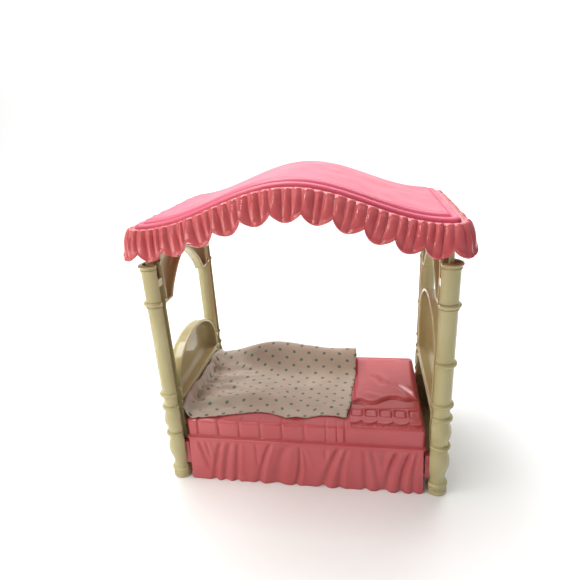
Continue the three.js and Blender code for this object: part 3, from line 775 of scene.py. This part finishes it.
mattress_low, mattress_high = box_mm("mattress")
BED_LENGTH = mattress_high[0]
BED_WIDTH = 41.0
LEDGE_WIDTH = mattress_high[1]
MATTRESS_TOP = mattress_high[2]
LEDGE_BOTTOM = mattress_low[2]
QUILT_SEAMS = [-61.6 + 12.6 * i for i in range(7)] + [19.9, 24.1]
SEAM_DEPTH = 0.95
LEDGE_ROUND = 0.75
TOP_ROUND = 2.0              # round of the mattress's top edge
BASE_SHELL = 1.5
PERIMETER = 1100             # points round the mattress or the skirt


def plan_outline(half_length, half_width, corner, count=PERIMETER):
    """Rounded rectangle in plan with outward directions, evenly spaced."""
    rows = []
    far_x, far_y = half_length - corner, half_width - corner
    for cx, cy, start in ((far_x, -far_y, -90), (far_x, far_y, 0), (-far_x, far_y, 90), (-far_x, -far_y, 180)):
        for a in np.radians(start + np.linspace(0, 90, 13)):
            rows.append((cx + corner * math.cos(a), cy + corner * math.sin(a), math.cos(a), math.sin(a)))
    spaced = resample(np.array(rows), count)
    place, out = spaced[:, :2], spaced[:, 2:]
    return place, out / np.linalg.norm(out, axis=1)[:, None]


def quilt(place, out):
    """How far the mattress sides swell between their upright seams, from 0 to 1."""
    seams = np.array([-BED_LENGTH] + QUILT_SEAMS)
    x = place[:, 0]
    swell = np.zeros(len(x))
    for left, right in zip(seams[:-1], seams[1:]):
        t = (x - left) / (right - left)
        inside = (t >= 0) & (t < 1)
        swell = np.where(inside, 1 - np.abs(2 * np.clip(t, 0, 1) - 1) ** 9, swell)
    edge = smooth(0, 1.2, x - seams[-1])
    swell = np.where(x >= seams[-1], edge, swell)
    return np.where(np.abs(out[:, 1]) > 0.7, swell, 1.0)


def make_mattress():
    """A shell with a ledge over the skirt, quilted sides and a flat top."""
    place, out = plan_outline(BED_LENGTH, BED_WIDTH, 2.5)
    swell = quilt(place, out)
    wall_top = MATTRESS_TOP - TOP_ROUND
    ledge = LEDGE_WIDTH - BED_WIDTH
    loops = []

    def add(offset, z, share=0.0, quilted=0.0, sunk=0.0):
        move = offset + share * np.abs(out[:, 1]) * ledge - SEAM_DEPTH * quilted * (1 - swell)
        xy = place + out * np.asarray(move)[:, None]
        loops.append(np.concatenate([xy, (z - sunk * (1 - swell))[:, None]], 1))

    inside = -BASE_SHELL
    add(inside, LEDGE_BOTTOM)
    add(-0.5, LEDGE_BOTTOM, 1.0)
    for a in np.linspace(-80, 90, 8):
        turn = math.radians(a)
        add(-LEDGE_ROUND + LEDGE_ROUND * math.cos(turn), LEDGE_BOTTOM + LEDGE_ROUND + LEDGE_ROUND * math.sin(turn),
            1.0)
    add(0.25, LEDGE_BOTTOM + 1.5)
    add(0.05, LEDGE_BOTTOM + 1.8, 0, 0.5)
    for z in np.linspace(LEDGE_BOTTOM + 2.4, wall_top - 0.6, 7):
        add(0, z, 0, 1.0)
    for a in np.linspace(0, 90, 8)[1:]:
        turn = math.radians(a)
        add(-TOP_ROUND + TOP_ROUND * math.cos(turn), MATTRESS_TOP - TOP_ROUND + TOP_ROUND * math.sin(turn), 0,
            1.0 - 0.5 * a / 90, 0.6 * a / 90)
    add(-3.5, MATTRESS_TOP, 0, 0.25, 0.6)
    add(-5.5, MATTRESS_TOP, 0, 0, 0.5)
    add(-8.0, MATTRESS_TOP)
    top = loops[-1]
    for share in (0.8, 0.55, 0.3, 0.08):
        smaller = top.copy()
        smaller[:, :2] *= share
        loops.append(smaller)
    under = []
    inner_place = place + out * inside
    for z in np.linspace(LEDGE_BOTTOM, MATTRESS_TOP - BASE_SHELL, 4)[1:]:
        under.append(np.concatenate([inner_place, np.full((len(place), 1), z)], 1))
    for share in (0.8, 0.5, 0.2, 0.05):
        smaller = under[2].copy()
        smaller[:, :2] *= share
        under.append(smaller)
    return [loft(under[::-1] + loops)]


# Gathers of the front skirt: x at its top, middle and bottom, depth, width, and where it fades out
GATHERS = [
    (-61.4, -57.2, -52.8, 0.75, 1.5, 0.80), (-57.0, -54.6, -52.8, 0.45, 1.2, 0.65),
    (-47.4, -51.3, -53.2, 0.9, 1.4, 1.0), (-41.9, -45.1, -46.7, 0.7, 1.5, 1.0),
    (-36.8, -38.6, -39.7, 0.7, 1.3, 1.0), (-27.0, -26.3, -26.1, 0.5, 1.2, 0.6),
    (-18.1, -23.1, -26.1, 0.85, 1.5, 1.0), (-8.2, -13.0, -15.1, 0.7, 2.8, 1.0),
    (-1.5, -1.3, -4.2, 0.8, 1.2, 1.0), (0.4, 2.5, 4.6, 0.5, 1.4, 0.6),
    (13.8, 13.5, 13.2, 0.4, 1.3, 0.4), (21.2, 15.9, 11.7, 1.0, 1.8, 1.0),
    (26.3, 22.5, 21.3, 0.7, 1.5, 1.0), (34.5, 35.9, 35.9, 0.75, 1.5, 1.0),
    (38.6, 42.2, 43.8, 0.55, 1.6, 1.0), (46.5, 45.6, 45.2, 0.4, 1.4, 1.0),
    (53.6, 49.1, 47.4, 1.15, 1.6, 1.0), (61.0, 56.8, 55.4, 1.05, 1.5, 1.0),
    (64.2, 62.2, 62.6, 0.7, 1.1, 1.0),
]


def gather_depth(along, down):
    """Relief of the skirt at a place along it, from folds that run from its top to its hem."""
    folds = np.zeros(len(along))
    for top, middle, bottom, depth, width, end in GATHERS:
        centre = (top * (1 - down) * (1 - 2 * down) + 4 * middle * down * (1 - down)
                  + bottom * down * (2 * down - 1))
        fade = smooth(0.0, 0.14, down) * (1 - smooth(end - 0.18, end + 0.02, down) * (end < 1))
        u = (along - centre) / (width * (0.8 + 0.5 * down))
        folds += fade * depth * (-np.exp(-u * u) + 0.5 * np.exp(-((u - 1.7) / 1.3) ** 2)
                                 + 0.25 * np.exp(-((u + 1.9) / 1.4) ** 2))
    return folds


def make_skirt():
    """The gathered skirt from the ledge down to the floor, on all four sides."""
    top_z = LEDGE_BOTTOM - 0.05
    place, out = plan_outline(BED_LENGTH, LEDGE_WIDTH, 1.6)
    is_side = np.abs(out[:, 1])
    along = np.where(out[:, 1] < -0.5, place[:, 0], -place[:, 0])
    end_along = np.where(out[:, 0] > 0.5, place[:, 1], -place[:, 1]) * 1.35 + 6
    outer, inner = [], []
    for down in np.linspace(0, 1, 36):
        flare = 1.9 * down
        folds = gather_depth(along, down) * is_side + 0.6 * gather_depth(end_along, down) * (1 - is_side)
        near_corner = smooth(0, 3.0, BED_LENGTH - np.abs(place[:, 0])) * is_side
        near_corner = near_corner + (1 - is_side) * smooth(0, 3.0, LEDGE_WIDTH - np.abs(place[:, 1]))
        folds = np.clip(np.where(folds < 0, 1.35 * folds, 1.15 * folds), -1.8, 0.8) * near_corner
        move = -0.55 + flare * is_side + folds - 0.2 * (1 - is_side)
        hem = 0.25 * smooth(0.965, 1.0, down)
        z = top_z * (1 - down) + np.zeros(len(place))
        lift = np.clip(-folds, 0, 1.2) * 0.45 * smooth(0.9, 1.0, down)
        xy = place + out * (move - hem)[:, None]
        outer.append(np.stack([xy[:, 0], xy[:, 1], z + lift], 1))
        xy = place + out * (move - 1.3)[:, None]
        inner.append(np.stack([xy[:, 0], xy[:, 1], z + lift], 1))
    return [ring_sweep(outer + inner[::-1])]


make_piece("quilted_mattress", make_mattress(), pink_base, "bedstead", ["mattress"], 50)
skirt_nodes = [f"skirt_{n}" for n in (*SIDES, "head", "foot")]
make_piece("gathered_skirt", make_skirt(), pink_base, "bedstead", skirt_nodes, 50)

# ---------------------------------------------------------------- pillow and lace

pillow_low, pillow_high = box_mm("pillow")
lace_low, lace_high = box_mm("lace_band")
EYELET_FIRST = 30.9
EYELET_PITCH = 8.2
EYELET_COUNT = 5
EYELET_HALF = 3.3
EYELET_MIDDLE = -27.3
SCALLOP_PITCH = 8.7
SCALLOP_CUSPS = [24.8 + SCALLOP_PITCH * i for i in range(6)]


def crease(x, y, start, end, width):
    """1 along a straight crease that fades at its ends."""
    start, end = np.array(start), np.array(end)
    along = end - start
    t = ((x - start[0]) * along[0] + (y - start[1]) * along[1]) / (along @ along)
    off = np.hypot(x - start[0] - np.clip(t, 0, 1) * along[0], y - start[1] - np.clip(t, 0, 1) * along[1])
    return np.exp(-(off / width) ** 2) * smooth(-0.15, 0.25, t) * (1 - smooth(0.8, 1.15, t))


def pillow_front(x):
    """The pillow's wavy front edge."""
    return -15.6 - 2.6 * np.sin((x - 33.5) / 11.5 * np.pi) * smooth(30, 36, x) * (1 - smooth(55, 66, x)) \
        + 2.8 * smooth(47, 58, x)


def make_pillow():
    """The pillow as a raised patch with soft edges and a few creases."""
    xs = np.linspace(pillow_low[0], pillow_high[0], 130)
    share = np.linspace(0, 1, 170)
    x = np.repeat(xs[:, None], len(share), 1)
    front = pillow_front(xs)[:, None]
    y = front + (pillow_high[1] - front) * share[None, :]
    from_edge = np.minimum(np.minimum(x - pillow_low[0], pillow_high[0] - x),
                           np.minimum(y - front, pillow_high[1] - y))
    crown = 1 - (1 - np.clip(from_edge / 3.2, 0, 1)) ** 2.4
    rise = pillow_high[2] - MATTRESS_TOP
    z = MATTRESS_TOP + 0.05 + (rise - 0.7) * crown
    mid_x, mid_y = (pillow_low[0] + pillow_high[0]) / 2, (pillow_low[1] + pillow_high[1]) / 2
    z += 0.5 * crown * np.exp(-((x - mid_x) / 15) ** 2 - ((y - mid_y - 4) / 22) ** 2)
    z -= 0.45 * crease(x, y, (40, 12), (47.1, 1), 2.2)
    z += 0.3 * crease(x, y, (43, 14), (50, 3), 2.5)
    z -= 0.55 * crease(x, y, (55.2, 2.0), (65.1, -11), 1.8)
    z += 0.4 * crease(x, y, (57.5, 3.2), (66, -8), 2.0)
    z -= 0.3 * crease(x, y, (33, 30), (34, 4), 2.6)
    z += 0.25 * crease(x, y, (36, -8), (47, -13), 2.0)
    return [relief(xs, y, np.maximum(z, MATTRESS_TOP + 0.02), MATTRESS_TOP - 0.2)]


def make_lace():
    """The band in front of the pillow: eyelets, a scalloped front edge and beads."""
    left, right = lace_low[0] - 0.4, lace_high[0] - 0.2
    front, back = -BED_WIDTH + 0.15, lace_high[1] + 2.4
    xs = np.linspace(left, right, 330)
    ys = np.linspace(front, back, 200)
    x, y = np.meshgrid(xs, ys, indexing="ij")
    band_back = -23.4 + 3.0 * smooth(30, 66, x)
    cusp_index = (x - SCALLOP_CUSPS[0]) / SCALLOP_PITCH
    within = cusp_index - np.floor(cusp_index)
    scallop = -34.3 - 2.9 * np.sqrt(np.clip(np.sin(np.pi * within), 0, 1))
    in_band = smooth(-0.35, 0.35, y - scallop) * (1 - smooth(-0.3, 0.5, y - band_back))
    z = MATTRESS_TOP + 0.1 + 0.75 * in_band
    z += 0.3 * np.exp(-((y - band_back + 0.5) / 0.55) ** 2)
    z += 0.22 * np.exp(-((y - scallop - 0.55) / 0.4) ** 2)
    z -= 0.30 * np.exp(-((y - scallop + 0.35) / 0.35) ** 2)
    for i in range(EYELET_COUNT):
        cx, cy = EYELET_FIRST + i * EYELET_PITCH, EYELET_MIDDLE
        p = 5.0                  # a square with soft corners
        distance = (np.abs((x - cx) / EYELET_HALF) ** p + np.abs((y - cy) / EYELET_HALF) ** p) ** (1 / p)
        z -= 0.75 * np.exp(-((distance - 1.0) / 0.13) ** 2)
        z -= 0.18 * (distance < 1)
        z += 0.12 * np.exp(-((distance - 0.45) / 0.12) ** 2)
    z += beads(x, y)
    edge = np.clip((y - front) / 1.3, 0, 1)
    z -= 0.9 * (1 - np.sqrt(1 - (1 - edge) ** 2))
    sides = np.minimum(np.clip((x - left) / 0.6, 0, 1), np.clip((right - x) / 0.9, 0, 1))
    z -= 0.8 * (1 - np.sqrt(1 - (1 - sides) ** 2))
    return [relief(xs, ys, np.maximum(z, MATTRESS_TOP - 1.0), MATTRESS_TOP - 1.6)]


def beads(x, y):
    """Small raised beads in a cluster under each cusp and a row along the front edge."""
    height = np.zeros_like(x)
    for cusp in SCALLOP_CUSPS:
        spots = [(0, -35.9, 0.75), (-1.25, -37.4, 0.65), (1.25, -37.4, 0.65), (-2.7, -38.5, 0.6),
                 (2.7, -38.5, 0.6), (0, -38.4, 0.6), (-4.35, -39.1, 0.5)]
        for dx, cy, radius in spots:
            gap = radius ** 2 - (x - cusp - dx) ** 2 - (y - cy) ** 2
            height = np.maximum(height, np.sqrt(np.clip(gap, 0, None)))
    return height


make_piece("moulded_pillow", make_pillow(), pink_base, "bedstead", ["pillow"], 60)
make_piece("eyelet_lace", make_lace(), pink_base, "bedstead", ["lace_band"], 60)

# ---------------------------------------------------------------- blanket

SIM = 10.0                   # the cloth is simulated this many times larger than life
BLANKET_FLAT = (99.0, 96.0)  # cut size along the bed and across it
BLANKET_CELL = 1.25
BLANKET_THICKNESS = 0.25
BLANKET_FRAMES = 34
FOOT_EDGE = -70.1            # where the end of the cloth is held against the footboard
BACK_EDGE = 40.2
START_REACH = 97.5           # along the bed at the start, a little less than the flat size
CREASE_RISE = 1.5            # the hidden rises are this many times as tall as listed
# Front hem as (x, y)
FRONT_HEM = [(-70, -39.3), (-64.5, -39.4), (-51, -38), (-45, -35.4), (-37, -33.2), (-30, -31.8), (-24.5, -31),
             (-19.5, -31.6), (-13, -33.6), (-8, -35.6), (4, -34.4), (12, -31.4), (21, -31.8), (27, -33.2)]
# Creases that fan out from the foot end: y there, slope, height, half width and the x where they fade
CREASES = [
    (-31, 0.34, 2.3, 1.9, -34), (-25, 0.02, 1.5, 1.5, -42), (-20, 0.62, 1.8, 1.7, -40),
    (-11, 0.12, 1.3, 1.6, -36), (-4, 0.45, 1.5, 1.7, -44), (4, 0.05, 1.2, 1.6, -46),
    (13, 0.2, 1.2, 1.6, -50), (-36, 0.1, 1.2, 1.4, -48)]


def fold_height(x, y):
    """The large fold along the back, the low one along the front and the creases from the foot end."""
    rise = 0.46 + 0.54 * smooth(-68, -24, x) - 0.18 * smooth(-24, 22, x)
    line = 26.5 - 1.5 * np.sin((x + 10) / 14)
    side = np.where(y < line, 9.0, 7.2)
    height = 16.2 * rise * np.exp(-((y - line) / side) ** 2)
    line = -19.5 + 2.5 * np.sin((x + 58) / 15)
    height += 3.1 * np.exp(-((y - line) / 6.2) ** 2) * smooth(-70, -55, x) * (1 - 0.7 * smooth(-22, 4, x))
    for start, slope, tall, wide, fade in CREASES:
        ridge = np.exp(-((y - start - slope * (x + 68)) / (wide + 0.05 * (x + 68))) ** 2)
        height += CREASE_RISE * tall * ridge * (1 - smooth(fade - 18, fade + 8, x))
    height += 1.5 * np.exp(-((y + 27 + 0.3 * (x - 20)) / 3.2) ** 2) * smooth(2, 18, x)
    height += 1.1 * np.exp(-((y + 4 - 0.15 * x) / 3.4) ** 2) * smooth(-44, -20, x) * (1 - smooth(0, 24, x))
    height += 0.9 * np.exp(-((x + 6 + 0.5 * (y + 30)) / 3.2) ** 2) * (1 - smooth(-26, -12, y))
    return height


def rest_height(x, y):
    """Height of what the blanket lies on: the mattress, the board at the foot and what holds the folds up."""
    off = smooth(BED_WIDTH - 0.6, BED_WIDTH + 2.4, np.abs(y))
    on_bed = MATTRESS_TOP + fold_height(x, y) * (1 - off) - 12 * off
    climb = MATTRESS_TOP + 7.4 * smooth(-65.8, -70.3, x) * (1 - 0.75 * smooth(26, 38, y))
    return np.maximum(on_bed, climb)


def make_rest():
    """The surface under the blanket, at simulation size."""
    x, y = np.meshgrid(np.arange(-74, 34.1, 1.2), np.arange(-48, 48.1, 1.2), indexing="ij")
    points = np.stack([x, y, rest_height(x, y)], -1).reshape(-1, 3)
    mesh = bpy.data.meshes.new("rest")
    mesh.from_pydata((points * MM * SIM).tolist(), [], grid_quads(*x.shape))
    mesh.update()
    rest = bpy.data.objects.new("rest", mesh)
    SCENE.collection.objects.link(rest)
    return rest


def blanket_start():
    """Flat shares u, v and the cloth just over the rest surface, spread evenly along the folds."""
    count = [int(round(size / BLANKET_CELL)) + 1 for size in BLANKET_FLAT]
    u, v = np.meshgrid(np.linspace(0, 1, count[0]), np.linspace(0, 1, count[1]), indexing="ij")
    x = FOOT_EDGE + START_REACH * u[:, 0]
    front = np.interp(x, *np.transpose(FRONT_HEM))
    fine = np.linspace(0, 1, 400)
    points = np.zeros(u.shape + (3,))
    for row in range(count[0]):
        y = front[row] + (BACK_EDGE - front[row]) * fine
        z = rest_height(np.full(400, x[row]), y)
        length = np.concatenate([[0], np.cumsum(np.hypot(np.diff(y), np.diff(z)))])
        target = v[row] * length[-1]
        points[row] = np.stack([np.full(count[1], x[row]), np.interp(target, length, y),
                                np.interp(target, length, z)], 1)
    points[..., 0] += 2.2 * smooth(-8, 16, points[..., 1]) * u ** 3
    points[..., 0] -= 2.2 * (1 - smooth(-34, -18, points[..., 1])) * u ** 3
    random = np.random.default_rng(11)
    ripple = np.zeros(u.shape)
    for _ in range(30):
        wave, turn, phase = random.uniform(0.1, 0.55), random.uniform(-0.9, 0.9), random.uniform(0, 6.3)
        along = points[..., 1] * math.cos(turn) + points[..., 0] * math.sin(turn)
        ripple += 0.12 * np.sin(wave * along + phase)
    points[..., 2] += 0.9 + ripple * (0.6 + 1.6 * (1 - smooth(0, 0.4, u)))
    return u, v, points


def settle(points, flat):
    """Let the cloth fall on the rest surface and crease. The edge at the foot stays where it starts."""
    rows, columns = points.shape[:2]
    mesh = bpy.data.meshes.new("falling")
    mesh.from_pydata((flat.reshape(-1, 3) * MM * SIM).tolist(), [], grid_quads(rows, columns))
    mesh.update()
    falling = bpy.data.objects.new("falling", mesh)
    SCENE.collection.objects.link(falling)
    falling.shape_key_add(name="flat")
    start = falling.shape_key_add(name="start")
    start.data.foreach_set("co", (points * MM * SIM).astype(np.float32).ravel())
    start.value = 1.0
    wedged = falling.vertex_groups.new(name="wedged")
    wedged.add(list(range(columns)), 1.0, "REPLACE")
    rest = make_rest()
    rest.modifiers.new("rest", "COLLISION")
    rest.collision.thickness_outer = 0.003
    rest.collision.cloth_friction = 60
    fall = falling.modifiers.new("fall", "CLOTH")
    cloth = fall.settings
    cloth.quality = 6
    cloth.mass = 0.15
    cloth.tension_stiffness = cloth.compression_stiffness = 25
    cloth.shear_stiffness = 12
    cloth.bending_stiffness = 0.25
    cloth.tension_damping = cloth.compression_damping = cloth.shear_damping = 10
    cloth.air_damping = 5
    cloth.rest_shape_key = falling.data.shape_keys.key_blocks["flat"]
    cloth.vertex_group_mass = "wedged"
    fall.collision_settings.distance_min = 0.003
    fall.collision_settings.collision_quality = 3
    fall.collision_settings.friction = 20
    fall.collision_settings.use_self_collision = True
    fall.collision_settings.self_distance_min = 0.004
    fall.point_cache.frame_start = 1
    fall.point_cache.frame_end = BLANKET_FRAMES
    for frame_number in range(1, BLANKET_FRAMES + 1):
        SCENE.frame_set(frame_number)
    settled = falling.evaluated_get(bpy.context.evaluated_depsgraph_get()).to_mesh()
    result = np.zeros(len(settled.vertices) * 3)
    settled.vertices.foreach_get("co", result)
    SCENE.frame_set(1)
    for item in (falling, rest):
        bpy.data.objects.remove(item, do_unlink=True)
    return result.reshape(rows, columns, 3) / (MM * SIM)


def make_blanket():
    """The sheet of cotton, with uneven cut edges and UVs that are millimetres on the flat cut."""
    u, v, points = blanket_start()
    flat = np.stack([u * BLANKET_FLAT[0] - BLANKET_FLAT[0] / 2, v * BLANKET_FLAT[1] - BLANKET_FLAT[1] / 2,
                     np.full_like(u, MATTRESS_TOP + 4)], -1)
    points = settle(points, flat)
    edge = np.minimum(np.minimum(u, 1 - u) * BLANKET_FLAT[0], np.minimum(v, 1 - v) * BLANKET_FLAT[1])
    across, along = np.gradient(points, axis=0), np.gradient(points, axis=1)
    normal = np.cross(across, along)
    normal /= np.linalg.norm(normal, axis=-1)[..., None]
    random = np.random.default_rng(3)
    frayed = (edge < 0.01)[..., None]
    points = points + frayed * random.uniform(-0.25, 0.25, points.shape) * [1, 1, 0.4]
    top = points + normal * BLANKET_THICKNESS / 2
    bottom = points - normal * BLANKET_THICKNESS / 2
    sheet_points, faces = thick_sheet(top, bottom)
    blanket = make_piece("loose_blanket", [(sheet_points, faces)], printed_cotton,
                         "blanket", ["blanket"], 180)
    layer = blanket.data.uv_layers.new(name="cut")
    place = np.concatenate([flat.reshape(-1, 3)[:, :2]] * 2)
    corner = np.zeros(len(blanket.data.loops), int)
    blanket.data.loops.foreach_get("vertex_index", corner)
    layer.data.foreach_set("uv", place[corner].astype(np.float32).ravel())


DOT_PITCH = 10.0             # lattice of the print, which has one more dot in each cell's middle
DOT_WIDTH = 2.15
DOT_GREEN = (0.05, 0.20, 0.12, 1)
DOT_BLUE = (0.06, 0.18, 0.14, 1)
THREAD = 0.32                # width of one up-and-down of the weave


def cotton_print(name):
    """Thin plain-weave cotton with printed pin dots. Its UVs are millimetres on the flat cut."""
    n = Nodes(name)
    cut = n.add("ShaderNodeUVMap", uv_map="cut").outputs["UV"]
    wobble = n.add("ShaderNodeTexNoise", Scale=0.9, Detail=2.0)
    n.link(cut, wobble.inputs["Vector"])
    moved = n.vector("MULTIPLY_ADD", wobble.outputs["Color"], (0.5, 0.5, 0.0), cut)
    dots = []
    for offset in (0.0, DOT_PITCH / 2):
        shifted = n.vector("ADD", moved, (offset + 0.7, offset + 1.1, 0.0))
        cell = n.vector("DIVIDE", shifted, (DOT_PITCH, DOT_PITCH, 1.0))
        inside = n.vector("SUBTRACT", n.vector("FRACTION", cell), (0.5, 0.5, 0.0))
        flat_inside = n.vector("MULTIPLY", inside, (1.0, 1.0, 0.0))
        away = n.add("ShaderNodeVectorMath", operation="LENGTH")
        n.link(flat_inside, away.inputs[0])
        radius = DOT_WIDTH / 2 / DOT_PITCH
        spot = n.spread(away.outputs["Value"], radius * 0.8, radius * 1.15, 1.0, 0.0)
        which = n.add("ShaderNodeTexWhiteNoise", noise_dimensions="2D")
        n.link(n.vector("FLOOR", cell), which.inputs["Vector"])
        ink = n.ramp(which.outputs["Value"], [(0.0, DOT_GREEN), (0.75, DOT_BLUE)])
        dots.append((spot, ink))
    weave = []
    for axis in ((1.0, 0.0, 0.0), (0.0, 1.0, 0.0)):
        line = n.add("ShaderNodeVectorMath", operation="DOT_PRODUCT")
        n.link(cut, line.inputs[0])
        line.inputs[1].default_value = axis
        weave.append(n.math("SINE", n.math("MULTIPLY", line.outputs["Value"], 2 * math.pi / THREAD)))
    woven = n.math("MULTIPLY", weave[0], weave[1])
    slub = n.add("ShaderNodeTexNoise", Scale=0.8, Detail=5.0)
    n.link(n.vector("MULTIPLY", cut, (0.25, 2.0, 1.0)), slub.inputs["Vector"])
    cloud = n.add("ShaderNodeTexNoise", Scale=0.06, Detail=3.0)
    n.link(cut, cloud.inputs["Vector"])
    colour = n.ramp(cloud.outputs["Fac"], [(0.35, (0.50, 0.43, 0.34)), (0.65, (0.57, 0.51, 0.42))])
    colour = n.mix(n.spread(slub.outputs["Fac"], 0.35, 0.7, 0.0, 0.16), colour, (0.34, 0.30, 0.25, 1))
    colour = n.mix(n.spread(woven, -1.0, 1.0, 0.12, 0.0), colour, (0.26, 0.23, 0.19, 1))
    for spot, ink in dots:
        faded = n.math("MULTIPLY", spot, n.spread(slub.outputs["Fac"], 0.2, 0.9, 0.95, 0.75))
        colour = n.mix(faded, colour, ink)
    n.link(colour, n.shader.inputs["Base Color"])
    n.shader.inputs["Roughness"].default_value = 0.9
    n.shader.inputs["Sheen Weight"].default_value = 0.25
    n.shader.inputs["Subsurface Weight"].default_value = 0.12
    n.shader.inputs["Subsurface Scale"].default_value = 0.001
    height = n.math("ADD", n.math("MULTIPLY", woven, 0.5), slub.outputs["Fac"])
    n.link(n.bump(height, 0.35, 0.00006), n.shader.inputs["Normal"])
    return n.material


printed_cotton = cotton_print("pin_dot_cotton")
make_blanket()

# ---------------------------------------------------------------- carried-over CAD nodes

for name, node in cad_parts.items():
    for prefix, material in (("peg_socket", pink_canopy), ("base_tongue", pink_base)):
        if name.startswith(prefix):
            node.data.materials.clear()
            node.data.materials.append(material)

# ---------------------------------------------------------------- floor and light

FLOOR_DROP = 0.00005         # metres under the bed's feet, so that the two never share a plane


def make_floor():
    """A pale floor that curves up into a backdrop behind the bed."""
    half_width, front, back, bend, top = 3.0, -2.5, 1.3, 0.6, 2.2
    line = [(front, 0), (back, 0)]
    line += [(back + bend * math.sin(a), bend - bend * math.cos(a))
             for a in np.linspace(0, math.pi / 2, 13)[1:]]
    line += [(back + bend, top)]
    points = [(x, y, z - FLOOR_DROP) for y, z in line for x in (-half_width, half_width)]
    faces = [(2 * i, 2 * i + 1, 2 * i + 3, 2 * i + 2) for i in range(len(line) - 1)]
    mesh = bpy.data.meshes.new("floor")
    mesh.from_pydata(points, [], faces)
    mesh.shade_smooth()
    floor = bpy.data.objects.new("floor", mesh)
    SCENE.collection.objects.link(floor)
    n = Nodes("pale_floor")
    shade = n.ramp(n.noise(n.place(), 3.0, 2.0), [(0.3, (0.87, 0.87, 0.87)), (0.7, (0.9, 0.9, 0.9))])
    n.link(shade, n.shader.inputs["Base Color"])
    n.shader.inputs["Roughness"].default_value = 0.8
    n.shader.inputs["Specular IOR Level"].default_value = 0.1
    mesh.materials.append(n.material)


def area_light(name, place, target, size, power, colour=(1, 1, 1)):
    data = bpy.data.lights.new(name, "AREA")
    data.shape = "RECTANGLE"
    data.size, data.size_y = size
    data.energy = power
    data.color = colour
    light = bpy.data.objects.new(name, data)
    SCENE.collection.objects.link(light)
    light.location = place
    direction = Vector(target) - Vector(place)
    light.rotation_euler = direction.to_track_quat("-Z", "Y").to_euler()


def make_light():
    world = bpy.data.worlds.new("studio")
    world.use_nodes = True
    back = world.node_tree.nodes["Background"]
    back.inputs["Color"].default_value = (1, 0.93, 0.86, 1)
    back.inputs["Strength"].default_value = 0.1
    SCENE.world = world
    area_light("overhead", (-0.35, -0.02, 1.0), (0, -0.1, 0), (0.6, 0.5), 7.5, (0.96, 1, 1))
    area_light("rear_top", (0, 0.5, 1.0), (0, 0.1, 0), (1.0, 0.6), 9, (0.98, 0.98, 1))
    area_light("floor_wash", (0.1, -1.1, 1.2), (0.1, -1.1, 0), (1.6, 0.5), 3)
    area_light("backdrop_wash", (-0.4, 0.8, 1.3), (-0.4, 1.9, 0.35), (4.5, 0.4), 40)
    area_light("left_side", (-0.9, -0.1, 0.5), (0, 0, 0.1), (0.5, 0.5), 1.2, (1, 0.93, 0.85))
    area_light("right_side", (0.9, -0.2, 0.5), (0, 0, 0.1), (0.5, 0.5), 0.5, (0.75, 0.85, 1))
    area_light("bounce_card", (-0.28, -0.22, 0.13), (-0.05, 0, 0.09), (0.12, 0.12), 0.24, (1, 0.9, 0.8))
    area_light("window_strip", (-0.26, -0.34, 0.34), (0, 0, 0.13), (0.014, 0.24), 0.28, (1, 0.95, 0.84))
    area_light("lamp_strip", (-0.17, -0.40, 0.38), (0, 0, 0.14), (0.012, 0.2), 0.2, (1, 0.95, 0.84))
    area_light("right_strip", (0.30, -0.26, 0.36), (0.06, 0, 0.1), (0.012, 0.16), 0.08, (1, 0.97, 0.94))
    SCENE.view_settings.view_transform = "Standard"


make_floor()
make_light()
